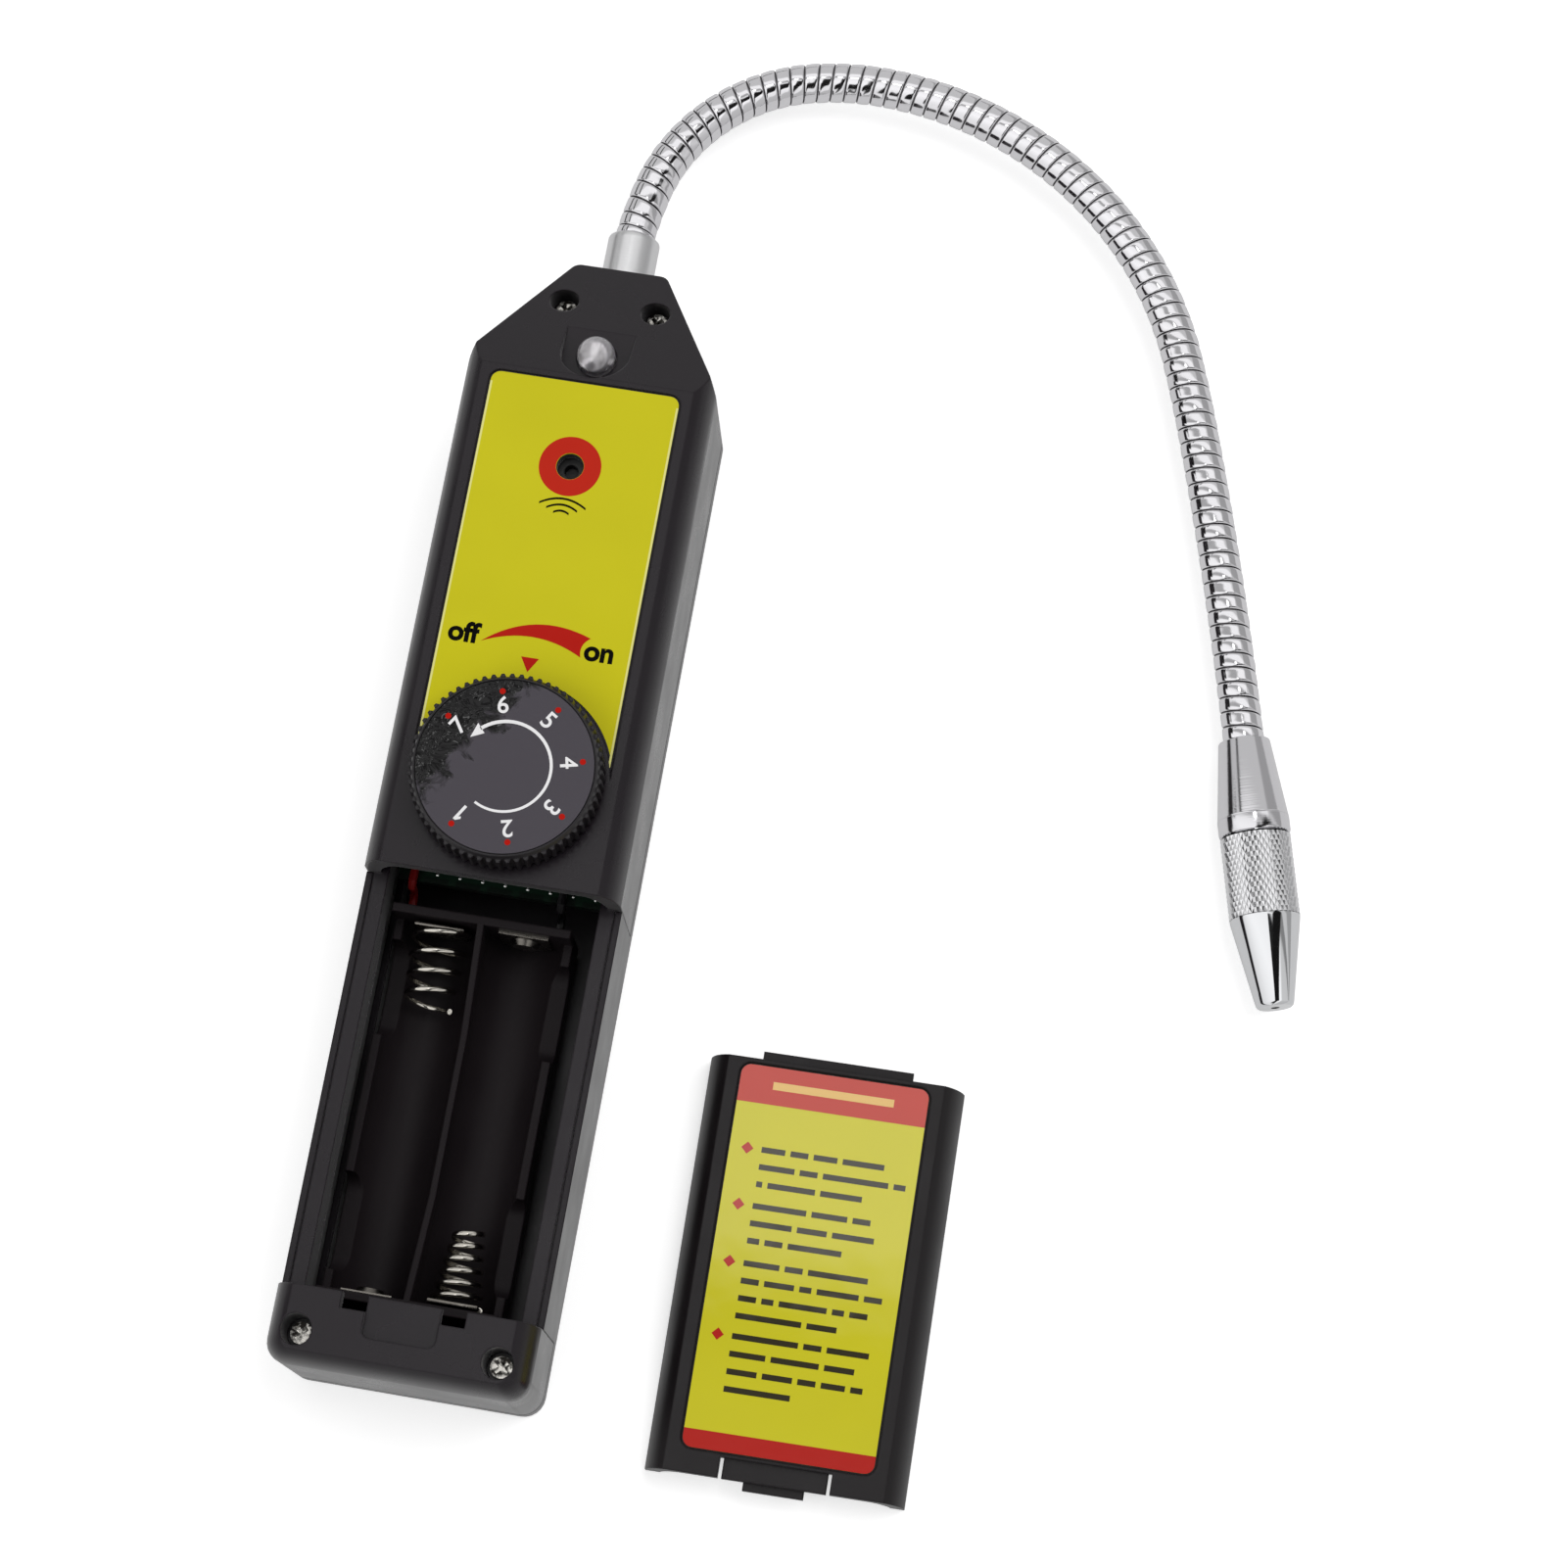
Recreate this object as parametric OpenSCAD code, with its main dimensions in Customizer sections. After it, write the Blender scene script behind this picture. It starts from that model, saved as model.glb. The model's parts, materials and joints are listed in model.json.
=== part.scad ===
// Hand-held refrigerant leak detector: a moulded case with a sensitivity knob and a battery bay,
// and a gooseneck probe that ends in a screwed sensor tip. The case lies on its back.
// Millimetres. X is across the case, Y runs towards the probe, Z comes out of the front face.
// The origin is at the centre of the back.

/* [Case] */
// Length of the case without the probe
case_l = 164; // [156:1:172]
// Width of the case
case_w = 36; // [34:0.5:40]
// Thickness of the case from its back to its front face
case_h = 27; // [26:0.5:30]
// Wall thickness of both mouldings
wall = 2; // [1.6:0.1:2.2]
// Height of the parting line above the back
part_z = 4; // [3.5:0.25:4.25]
// Width of the shadow gap along the parting line
seam = 0.3; // [0.1:0.05:0.5]
// Clearance between mouldings that fit into each other
fit = 0.15; // [0.05:0.05:0.3]
// Plan radius of the two tail corners
tail_r = 3; // [2.4:0.2:5]
// Plan radius of the shoulders and of the nose corners
nose_r = 1.6; // [0.8:0.2:2.4]
// Width of the bevel along the front edges, seen from the front
bevel_w = 2.8; // [2:0.2:4]
// Width of the bevel along the tail end, seen from the front
tail_bevel = 1.7; // [1.2:0.1:3]
// Depth of the bevel along the front edges, seen from the side
bevel_h = 5; // [4:0.5:6]
// Rounding of the edge round the back
back_r = 1.2; // [0.6:0.2:1.8]

/* [Nose] */
// Length of the tapered nose, from the shoulders to its end
nose_l = 20; // [17:0.5:24]
// Width of the nose end
nose_w = 13.4; // [12.6:0.2:16]
// Height of the nose end above the back
nose_end_h = 14.6; // [14.2:0.1:15.4]
// Distance of the fold of the nose front from the nose end
nose_fold = 21.5; // [20:0.5:22]
// Distance of the two nose screws from the nose end
nose_screw_in = 7.6; // [7:0.2:8.4]

/* [Battery bay] */
// Length of the bay opening
bay_l = 58.4; // [57.5:0.1:61]
// Length of the tail block below the bay
tail_block_l = 10.3; // [9.5:0.1:12]
// Height of the ledges that carry the cover
ledge_z = 19.5; // [19:0.25:20.5]
// Distance of the ledges' inner edge from the side of the case
ledge_in = 3.1; // [2.8:0.1:3.6]
// Height of the ledge rails
rail_h = 5.4; // [4:0.2:6]
// Thickness of the rear wall's lip outside the rails
lip_t = 0.9; // [0.7:0.1:1.1]
// Width of the latch seat in the tail block
latch_seat_w = 16.9; // [15:0.1:18]
// Depth of the latch seat from the edge of the tail block
latch_seat_l = 2.2; // [1.5:0.1:3]
// Width of the finger notch in the latch seat
finger_w = 10; // [8:0.5:12]
// Length of the finger notch from the edge of the tail block
finger_l = 5.6; // [4:0.1:6]
// Depth of the latch seat below the face
latch_seat_h = 3; // [2.4:0.1:3.4]
// Depth of the finger notch below the face
finger_h = 1; // [0.6:0.1:1.4]
// Corner radius of the finger notch
finger_r = 1.2; // [0.6:0.1:1.6]

/* [Battery holder] */
// Diameter of one cell
cell_d = 10.5; // [10:0.1:11]
// Distance between the axes of the two cells
cell_pitch = 11.8; // [11.4:0.1:12.2]
// Room for a cell between its two contacts, with the spring pressed
cell_room = 52.6; // [51.5:0.1:53]
// Offset of the holder from the middle of the case
holder_x = -1.2; // [-2:0.1:1]
// Height of the holder's underside above the back
holder_z = 6; // [5:0.25:6.5]
// Wall thickness of the holder
holder_t = 1.2; // [1:0.1:1.4]
// Free length of a contact spring
spring_l = 11; // [9:0.5:13]
// Diameter of a contact spring at its base
spring_d = 6.4; // [5.5:0.1:7]
// Diameter of a contact spring at its free end
spring_end_d = 4.4; // [3.6:0.1:5]
// Diameter of the spring wire
spring_wire = 0.7; // [0.5:0.1:0.9]

/* [Battery cover] */
// Gap between the cover and the bay at each end
cover_gap = 0.3; // [0.15:0.05:0.5]
// Width of the tongue at the cover's upper end
tongue_w = 21.2; // [16:0.2:24]
// Reach of the tongue beyond the cover
tongue_l = 1.5; // [1:0.1:2]
// Thickness of the tongue and of the latch
tongue_t = 1.3; // [1:0.1:1.5]
// Width of the latch
latch_w = 14.4; // [13:0.2:16]
// Length of the latch, from its root to its free end
latch_l = 2.8; // [2.4:0.2:3.4]
// Width of the latch's nib
nib_w = 8.4; // [7:0.2:10]
// Slit on each side of the latch
latch_slit = 0.5; // [0.4:0.1:0.8]
// Distance from the middle of the case to the middle of the cover lying beside it
cover_x = 50.8; // [44:0.2:54]
// Distance from the middle of the case down to the middle of the cover
cover_y = -57; // [-60:0.5:-50]
// Turn of the cover where it lies
cover_turn = 0.9; // [0:0.1:2]

/* [Knob and panel] */
// Distance of the knob axis from the upper edge of the bay
knob_in = 14.5; // [14:0.1:15.5]
// Diameter of the knob over its ribs
knob_d = 26.7; // [25:0.1:28]
// Height of the knob's top above the face
knob_top = 5.4; // [5:0.1:6.2]
// Gap between the knob and the face
knob_gap = 0.6; // [0.5:0.1:1]
// Number of ribs round the knob
knob_ribs = 64; // [40:4:80]
// Depth of the grooves between the ribs
knob_rib_h = 0.45; // [0.3:0.05:0.6]
// Wall thickness of the knob
knob_t = 1.7; // [1.4:0.1:2]
// Diameter of the printed dial on the knob
dial_d = 24.4; // [22:0.1:24.6]
// Diameter of the potentiometer shaft
shaft_d = 6; // [5:0.1:6.4]
// Diameter of the potentiometer's threaded bush
bush_d = 7.2; // [7:0.1:8]
// Diameter of the potentiometer's can
pot_d = 16.6; // [14:0.2:18]
// Distance of the buzzer from the nose end
buzzer_in = 35.1; // [33:0.1:38]
// Diameter of the sound hole
sound_d = 3.9; // [3:0.1:5]
// Diameter of the buzzer
buzzer_d = 12; // [10:0.2:14]
// Distance of the status lamp from the nose end
lamp_in = 16.7; // [16:0.1:17.2]
// Diameter of the status lamp
lamp_d = 5.5; // [5:0.1:5.8]
// Width of the U-shaped pocket round the lamp
lamp_pocket_w = 10; // [8.6:0.2:10.4]
// Depth of the lamp pocket's floor below the face
lamp_floor = 5.2; // [4.6:0.1:5.6]
// Height of the circuit board's upper side above the back
board_z = 14.6; // [14:0.2:15]
// Thickness of the circuit board
board_t = 1.6; // [1.2:0.1:2]
// Gap between the battery holder and the circuit board, for the leads
board_gap = 4.2; // [3.8:0.1:5]

/* [Labels] */
// Thickness of the printed labels
label_t = 0.25; // [0.1:0.05:0.3]
// Depth of the pockets that the labels lie in
label_pocket = 0.4; // [0.35:0.05:0.5]
// Gap between a label and its pocket
label_gap = 0.3; // [0.2:0.05:0.5]
// Width of the front label
label_w = 27; // [24:0.2:28]
// Distance of the front label's upper edge from the nose end
label_in = 22.6; // [22:0.1:24]
// Corner radius of the labels
label_r = 1.4; // [0.8:0.1:2]
// Distance from the knob axis to the label's lower edge
label_knob_r = 14.2; // [13.8:0.1:15]
// Width of the cover's label
cover_label_w = 26.4; // [24:0.2:28]
// Margin between the cover's label and the cover's upper end
cover_label_in = 0.9; // [0.8:0.1:2]
// Length of the cover's label
cover_label_l = 53.4; // [48:0.2:53.6]

/* [Screws] */
// Diameter of the counterbores for the case screws
screw_bore = 4.3; // [4.2:0.1:4.8]
// Diameter of the screw heads
screw_head = 3; // [2.8:0.1:3.6]
// Height of the screw heads
screw_head_h = 1.5; // [1.2:0.1:1.8]
// Diameter of the screw shanks
screw_d = 1.6; // [1.4:0.1:1.8]
// Length of the screws under the head
screw_l = 7; // [5:0.5:8]
// Outer diameter of the two screw posts in the tail
tail_post_d = 3.8; // [3.6:0.1:4.2]
// Gap between the tail screw posts and the walls
tail_post_gap = 0.48; // [0.2:0.02:0.8]
// Outer diameter of the two screw posts in the nose
nose_post_d = 3.2; // [3:0.1:3.4]
// Depth of the tail screws' heads below the face
tail_screw_in = 5; // [4:0.2:5.4]
// Height of the nose screws' seat above the back
nose_seat_z = 13.6; // [13.2:0.2:14.4]

/* [Gooseneck] */
// Height of the neck axis above the back where it leaves the case
neck_z = 7.3; // [7:0.1:7.6]
// Outer diameter of the gooseneck
neck_d = 5.9; // [5.6:0.1:6.4]
// Bore of the gooseneck for the sensor lead
neck_bore = 1.8; // [1.4:0.1:2.2]
// Length of the first, tightest stretch
bend_1_l = 41.8; // [38:0.2:48]
// Turn over the first stretch
bend_1 = 85; // [70:1:90]
// Length of the second, wider stretch
bend_2_l = 74; // [66:0.2:80]
// Turn over the second stretch
bend_2 = 76; // [66:1:80]
// Length of the last, nearly straight stretch
bend_3_l = 57.6; // [52:0.2:64]
// Turn over the last stretch
bend_3 = 5; // [0:1:10]
// Bands on each link
link_bands = 5; // [4:1:6]
// Width of the groove between two bands
band_groove = 0.4; // [0.3:0.05:0.5]
// Depth of the groove between two bands
band_groove_h = 0.35; // [0.25:0.05:0.4]
// Rounding of the bands' edges
band_edge = 0.25; // [0.15:0.05:0.3]
// Diameter of the ball at the far end of a link
ball_d = 4.7; // [4.5:0.05:4.75]
// Clearance of the ball in its socket
ball_fit = 0.1; // [0.06:0.01:0.12]
// Reach of the socket's rim past the middle of the ball
socket_grip = 1; // [0.9:0.05:1.1]
// Open groove between two links
link_gap = 1.2; // [1.15:0.05:1.4]
// Diameter of the stem behind the ball
stem_d = 3; // [2.8:0.1:3.2]
// Diameter of the collar at the case
collar_d = 7.7; // [7.4:0.1:8.2]
// Length of the collar
collar_l = 8; // [6:0.2:9]
// Diameter of the collar's threaded shank
shank_d = 6; // [5.6:0.1:6.2]
// Width across the flats of the neck's nut
nut_w = 8; // [7.6:0.1:8.4]
// Thickness of the neck's nut
nut_t = 2.4; // [2:0.1:2.6]

/* [Sensor tip] */
// Largest diameter of the tip
tip_d = 10.2; // [9.6:0.1:11]
// Gap under the tip where it lies beside the case
tip_lift = 0.1; // [0.05:0.05:0.4]
// Length of the tapered ferrule
ferrule_l = 14; // [12:0.2:16]
// Diameter of the ferrule at the neck
ferrule_d = 7.4; // [7:0.1:8]
// Width of the straight band at the ferrule's wide end
ferrule_band = 2.6; // [2:0.1:3.4]
// Length of the knurled part of the cap
knurl_l = 11.8; // [10:0.2:13]
// Length of the cap's cone
cone_l = 12.9; // [11:0.2:15]
// Diameter of the cap's front end
cone_d = 5.2; // [4.8:0.1:6]
// Diameter of the ferrule's threaded spigot
spigot_d = 7.6; // [7.4:0.1:7.9]
// Length of the threaded spigot
spigot_l = 6; // [5:0.2:7]
// Diameter of the sensor element
sensor_d = 5.6; // [5:0.1:6]
// Length of the sensor element
sensor_l = 7; // [5:0.2:8]
// Wall thickness of the cap at its front end
cap_wall = 1.2; // [1:0.1:1.4]
// Diameter of the middle air hole in the cap
air_hole = 1.2; // [1:0.1:1.4]

/* [Hidden] */

neck_links = 16;
eps = 0.01;
over = 1;
big = case_l + case_w;

half_w = case_w / 2;
half_l = case_l / 2;
shoulder_y = half_l - nose_l;
fold_y = half_l - nose_fold;
bay_low = -half_l + tail_block_l;
bay_high = bay_low + bay_l;
inner_w = half_w - wall;
holder_l = cell_room + 2 * holder_t;
holder_low = bay_low - 0.1;
holder_high = holder_low + holder_l;
nose_angle = atan((case_h - nose_end_h) / nose_fold);
knob_y = bay_high + knob_in;
buzzer_y = half_l - buzzer_in;

// Outlines in plan
corner_steps = 6;
least_r = 0.4;

function unit(v) = v / norm(v);
function outward(a, b) = let (d = unit(b - a)) [d.y, -d.x];

// One corner of a convex outline, rounded to radius r
function fillet(before, corner, after, r) =
    let (n1 = outward(before, corner), n2 = outward(corner, after),
         centre = corner - r * (n1 + n2) / (1 + n1 * n2),
         start = atan2(n1.y, n1.x), turn = acos(max(-1, min(1, n1 * n2))))
    [for (i = [0:corner_steps]) centre + r * [cos(start + turn * i / corner_steps),
                                              sin(start + turn * i / corner_steps)]];

function rounded(corners, radii) =
    let (n = len(corners))
    [for (i = [0:n - 1])
        each fillet(corners[(i + n - 1) % n], corners[i], corners[(i + 1) % n], radii[i])];

// Outward direction of the tapered nose side on the right
nose_side = outward([half_w, shoulder_y], [nose_w / 2, half_l]);

nose_at = nose_side * [half_w, shoulder_y];

// The case seen from the front, drawn in at its sides, at its tail end and round its nose
function case_outline(side, tail, nose) =
    let (x = half_w - side, y = half_l - nose,
         ys = (nose_at - nose - nose_side.x * x) / nose_side.y,
         xn = (nose_at - nose - nose_side.y * y) / nose_side.x,
         r_tail = max(least_r, tail_r - tail), r_nose = max(least_r, nose_r - nose))
    rounded([[-x, -half_l + tail], [x, -half_l + tail], [x, ys], [xn, y], [-xn, y], [-x, ys]],
            [r_tail, r_tail, r_nose, r_nose, r_nose, r_nose]);

function even_outline(inset) = case_outline(inset, inset, inset);

// Half the inside width of the nose at a place along it
function nose_inside(y) =
    half_w - (y - shoulder_y) / nose_l * (half_w - nose_w / 2) - wall / nose_side.x;

// Solid through a stack of case outlines, each given as its height and its three insets
module loft(levels) {
    n = len(even_outline(0));
    points = [for (level = levels, p = case_outline(level[1], level[2], level[3])) [p.x, p.y, level[0]]];
    sides = [for (i = [0:len(levels) - 2], k = [0:n - 1])
        let (a = i * n + k, b = i * n + (k + 1) % n)
        each [[a, a + n, b + n], [a, b + n, b]]];
    ends = [[for (k = [0:n - 1]) k], [for (k = [n - 1:-1:0]) (len(levels) - 1) * n + k]];
    polyhedron(points, concat(sides, ends));
}

// The case's front body from z up to the face; its sides and its tail curve in to the face
bevel_knee = [0.22, 0.74];
bevel_steps = 6;

function bevel_curve(t) = 2 * t * (1 - t) * bevel_knee + t * t * [1, 1];

module bevelled(z, inset, top) {
    loft(concat([[z, inset, inset, inset]],
                [for (i = [0:bevel_steps])
                    let (b = bevel_curve(i / bevel_steps))
                    [top + (b.y - 1) * bevel_h, inset + b.x * bevel_w, inset + b.x * tail_bevel, inset]]));
}

// Everything above the sloping nose front, drawn in by a wall
module above_nose(inset) {
    translate([0, fold_y, case_h - inset / cos(nose_angle)])
        rotate([-nose_angle, 0, 0])
            translate([-case_w, -case_l, 0])
                cube([2 * case_w, 2 * case_l, case_h]);
}

module front_outside() {
    difference() {
        bevelled(part_z + seam, 0, case_h);
        above_nose(0);
    }
}

module front_inside() {
    difference() {
        bevelled(part_z - over, wall, case_h - wall);
        above_nose(wall);
    }
}

module both_sides() {
    for (side = [-1, 1])
        mirror([side < 0 ? 1 : 0, 0, 0]) children();
}

// Places of the four case screws
tail_room = tail_post_d / 2 + tail_post_gap;
tail_inner_r = max(least_r, tail_r - wall);
tail_in = max(tail_room, tail_inner_r - max(0, tail_inner_r - tail_room) / sqrt(2));
tail_screw = [inner_w - tail_in, -half_l + wall + tail_in];
nose_screw_y = half_l - nose_screw_in;
nose_screw = [nose_inside(nose_screw_y) - (nose_post_d / 2 + fit) / nose_side.x, nose_screw_y];
tail_seat_z = case_h - tail_screw_in - screw_head_h;
boss_floor = 1.6;
boss_wall = 1.1;
pilot_d = screw_d + 0.1;
screw_hole = screw_d + 0.7;

module screw_boss(place, seat_z) {
    translate([place.x, place.y, seat_z - boss_floor])
        cylinder(d = screw_bore + 2 * boss_wall, h = case_h - wall - seat_z + boss_floor, $fn = 48);
}

module screw_cut(place, seat_z) {
    translate([place.x, place.y, seat_z])
        cylinder(d = screw_bore, h = case_h, $fn = 48);
    translate([place.x, place.y, seat_z - boss_floor - over])
        cylinder(d = screw_hole, h = case_h, $fn = 32);
}

module screw_post(place, seat_z, post_d) {
    translate([place.x, place.y, wall - eps])
        cylinder(d = post_d, h = seat_z - boss_floor - fit - wall + eps, $fn = 48);
}

module pilot_cut(place, seat_z) {
    translate([place.x, place.y, seat_z - screw_l - over])
        cylinder(d = pilot_d, h = screw_l + 2 * over, $fn = 32);
}

// Lamp
lamp_y = half_l - lamp_in;
lamp_floor_z = case_h - lamp_floor;
lamp_cup_t = 1.2;
lamp_hole = lamp_d + 0.2;
lamp_flange_d = lamp_d + 0.8;
lamp_flange_h = 1;
lamp_flange_z = lamp_floor_z - lamp_cup_t - lamp_flange_h;

module lamp_pocket(grow, z) {
    translate([0, lamp_y, z])
        cylinder(d = lamp_pocket_w + 2 * grow, h = case_h, $fn = 64);
    translate([-lamp_pocket_w / 2 - grow, lamp_y, z])
        cube([lamp_pocket_w + 2 * grow, nose_l, case_h]);
}

// Front label outline, closed by an arc round the knob
module label_plan(grow) {
    w = label_w / 2 + grow;
    top = half_l - label_in + grow;
    r = label_knob_r - grow;
    foot = knob_y;
    difference() {
        polygon(rounded([[-w, foot], [w, foot], [w, top], [-w, top]],
                        [least_r, least_r, label_r + grow, label_r + grow]));
        translate([0, knob_y])
            circle(r = r, $fn = 96);
    }
}

bush_hole = bush_d + 0.2;
rail_out = half_w - lip_t - fit;
rail_reach = 3;

module rails() {
    both_sides()
        translate([half_w - ledge_in, bay_low - rail_reach, ledge_z - rail_h])
            cube([rail_out - half_w + ledge_in, bay_l + 2 * rail_reach, rail_h]);
}

module front_case() {
    color("#3a3638")
    difference() {
        union() {
            difference() {
                union() {
                    difference() {
                        front_outside();
                        front_inside();
                    }
                    intersection() {
                        front_outside();
                        union() {
                            both_sides() screw_boss(tail_screw, tail_seat_z);
                            both_sides() screw_boss(nose_screw, nose_seat_z);
                            intersection() {
                                lamp_pocket(lamp_cup_t, lamp_floor_z - lamp_cup_t);
                                translate([-half_w, 0, 0])
                                    cube([case_w, lamp_y + lamp_pocket_w / 2 + lamp_cup_t, case_h]);
                            }
                        }
                    }
                }
                translate([-half_w - over, bay_low, 0])
                    cube([case_w + 2 * over, bay_l, case_h + over]);
            }
            rails();
        }
        both_sides() screw_cut(tail_screw, tail_seat_z);
        both_sides() screw_cut(nose_screw, nose_seat_z);
        lamp_pocket(0, lamp_floor_z);
        translate([0, lamp_y, lamp_floor_z - lamp_cup_t - over])
            cylinder(d = lamp_hole, h = case_h, $fn = 48);
        translate([0, lamp_y, lamp_flange_z - over])
            cylinder(d = lamp_flange_d + 2 * fit, h = lamp_flange_h + over, $fn = 48);
        translate([0, 0, case_h - label_pocket])
            linear_extrude(label_pocket + over) label_plan(label_gap);
        translate([0, buzzer_y, case_h - wall - over])
            cylinder(d = sound_d, h = wall + 2 * over, $fn = 48);
        translate([0, knob_y, case_h - wall - over])
            cylinder(d = bush_hole, h = wall + 2 * over, $fn = 48);
        latch_seat();
        shank_slot();
    }
}

// Seat in the tail block for the cover's latch: two deep notches for its ears and a shallow finger recess
module latch_seat() {
    both_sides()
        translate([finger_w / 2, bay_low - latch_seat_l, case_h - latch_seat_h])
            cube([(latch_seat_w - finger_w) / 2, latch_seat_l + over, latch_seat_h + over]);
    translate([0, 0, case_h - finger_h])
        linear_extrude(finger_h + over)
            polygon(rounded([[-finger_w / 2, bay_low - finger_l], [finger_w / 2, bay_low - finger_l],
                             [finger_w / 2, bay_low + over], [-finger_w / 2, bay_low + over]],
                            [finger_r, finger_r, least_r, least_r]));
}

// Slot in the nose end, open at the parting line, that the collar's shank drops into
module shank_slot() {
    slot_d = shank_d + 2 * fit;
    translate([0, half_l - wall - over, neck_z])
        rotate([-90, 0, 0])
            cylinder(d = slot_d, h = wall + 2 * over, $fn = 48);
    translate([-slot_d / 2, half_l - wall - over, 0])
        cube([slot_d, wall + 2 * over, neck_z]);
}

// Rear moulding: a shallow tray that rises to the ledges along the battery bay
board_low = holder_high + board_gap;
board_w = case_w - 2 * wall - 3;
board_under = board_z - board_t;
board_pillar_d = 4;
pillar_in = 3.5;
pillar_low = 8.6;
pillar_high = 22;
board_pillars = [[board_w / 2 - pillar_in, shoulder_y - pillar_high],
                 [board_w / 2 - pillar_in, board_low + pillar_low]];
lap_t = 1;
lap_h = 2;
holder_rib_w = 2;

module rear_case() {
    color("#343032")
    difference() {
        union() {
            difference() {
                loft([[0, back_r, back_r, back_r], [back_r, 0, 0, 0], [part_z, 0, 0, 0]]);
                translate([0, 0, wall])
                    linear_extrude(case_h) polygon(even_outline(wall));
            }
            bay_walls();
            lap_rim();
            both_sides() screw_post(tail_screw, tail_seat_z, tail_post_d);
            both_sides() screw_post(nose_screw, nose_seat_z, nose_post_d);
            for (p = board_pillars)
                both_sides()
                    translate([p.x, p.y, wall - eps])
                        cylinder(d = board_pillar_d, h = board_under - wall + eps, $fn = 40);
            for (y = [holder_low + holder_l * 0.15, holder_low + holder_l * 0.85])
                translate([holder_x - cell_pitch, y, wall - eps])
                    cube([2 * cell_pitch, holder_rib_w, holder_z - wall + eps]);
        }
        both_sides() pilot_cut(tail_screw, tail_seat_z);
        both_sides() pilot_cut(nose_screw, nose_seat_z);
    }
}

// Side walls of the bay, each with a thin lip outside the ledge rail
module bay_walls() {
    l = bay_l - 2 * fit;
    shoulder_z = ledge_z - rail_h - fit;
    both_sides() {
        translate([inner_w, bay_low + fit, wall])
            cube([wall, l, shoulder_z - wall]);
        translate([half_w - lip_t, bay_low + fit, wall])
            cube([lip_t, l, ledge_z - wall]);
    }
}

// Low rim that laps behind the front moulding's edge, left open for the neck
module lap_rim() {
    translate([0, 0, wall - eps])
        linear_extrude(part_z + lap_h - wall)
            difference() {
                polygon(even_outline(wall + fit));
                polygon(even_outline(wall + fit + lap_t));
                translate([-nose_w / 2, shoulder_y])
                    square([nose_w, nose_l]);
            }
}

// Battery holder
trough_d = cell_d + 0.4;
holder_w = cell_pitch + trough_d + 2 * holder_t;
cell_z = holder_z + holder_t + trough_d / 2;
holder_side_h = 0.55 * trough_d;
window_l = 13.6;
window_h = 3.4;
window_r = 2.4;
divider_t = cell_pitch - trough_d;
divider_l = 15;

function bay_x(side) = holder_x + side * cell_pitch / 2;

module battery_holder() {
    color("#1c1b1c") {
        difference() {
            union() {
                translate([holder_x - holder_w / 2, holder_low, holder_z])
                    cube([holder_w, holder_l, holder_t + holder_side_h]);
                for (y = [holder_low, holder_high - holder_t])
                    translate([holder_x - holder_w / 2, y, holder_z])
                        cube([holder_w, holder_t, holder_t + trough_d]);
            }
            for (side = [-1, 1])
                translate([bay_x(side), holder_low + holder_t, cell_z])
                    rotate([-90, 0, 0])
                        cylinder(d = trough_d, h = cell_room, $fn = 64);
            for (side = [-1, 1])
                translate([bay_x(side) - trough_d / 2, holder_low + holder_t, cell_z])
                    cube([trough_d, cell_room, case_h]);
            for (side = [-1, 1], share = [0.2, 0.8])
                translate([holder_x + side * holder_w / 2, holder_low + holder_l * share, cell_z])
                    side_window();
        }
        divider_ends();
    }
}

// Window in a side wall of the holder, with rounded lower corners
module side_window() {
    rotate([90, 0, 90])
        translate([0, 0, -trough_d / 2])
            linear_extrude(trough_d)
                polygon(rounded([[-window_l / 2, -window_h], [window_l / 2, -window_h],
                                 [window_l / 2, window_h], [-window_l / 2, window_h]],
                                [window_r, window_r, least_r, least_r]));
}

// The divider rises from the middle of the holder to the top of each end wall
module divider_ends() {
    rise = trough_d - holder_side_h;
    low = holder_z + holder_t + holder_side_h - eps;
    translate([holder_x, (holder_low + holder_high) / 2, low])
        for (turn = [0, 180])
            rotate([0, 0, turn])
                translate([-divider_t / 2, holder_l / 2 - holder_t + eps, 0])
                    rotate([90, 0, 90])
                        linear_extrude(divider_t)
                            polygon([[0, 0], [0, rise], [-divider_l, 0]]);
}

// Contact spring: a coil that narrows towards its free end
spring_turns = 5;
spring_steps = 14;
wire_sides = 6;

function ring(centre, along, across, r, sides) =
    let (u = unit(cross(along, across)), v = cross(unit(along), u))
    [for (k = [0:sides - 1]) centre + r * (cos(360 * k / sides) * u + sin(360 * k / sides) * v)];

// Tube swept along a list of points; across is a direction that the path never takes
module tube(path, r, sides, across) {
    n = len(path);
    points = [for (i = [0:n - 1])
        each ring(path[i], path[min(n - 1, i + 1)] - path[max(0, i - 1)], across, r, sides)];
    skin = [for (i = [0:n - 2], k = [0:sides - 1])
        let (a = i * sides, b = (i + 1) * sides, next = (k + 1) % sides)
        [a + k, b + k, b + next, a + next]];
    ends = [[for (k = [0:sides - 1]) k], [for (k = [sides - 1:-1:0]) (n - 1) * sides + k]];
    polyhedron(points, concat(skin, ends));
}

module coil() {
    steps = spring_turns * spring_steps;
    path = [for (i = [0:steps])
        let (f = i / steps, a = 360 * i / spring_steps,
             r = (spring_d + f * (spring_end_d - spring_d)) / 2 - spring_wire / 2)
        [r * cos(a), f * (spring_l - spring_wire) + spring_wire / 2, r * sin(a)]];
    tube(path, spring_wire / 2, wire_sides, [0, 1, 0]);
}

contact_t = 0.4;
contact_w = 7;

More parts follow.
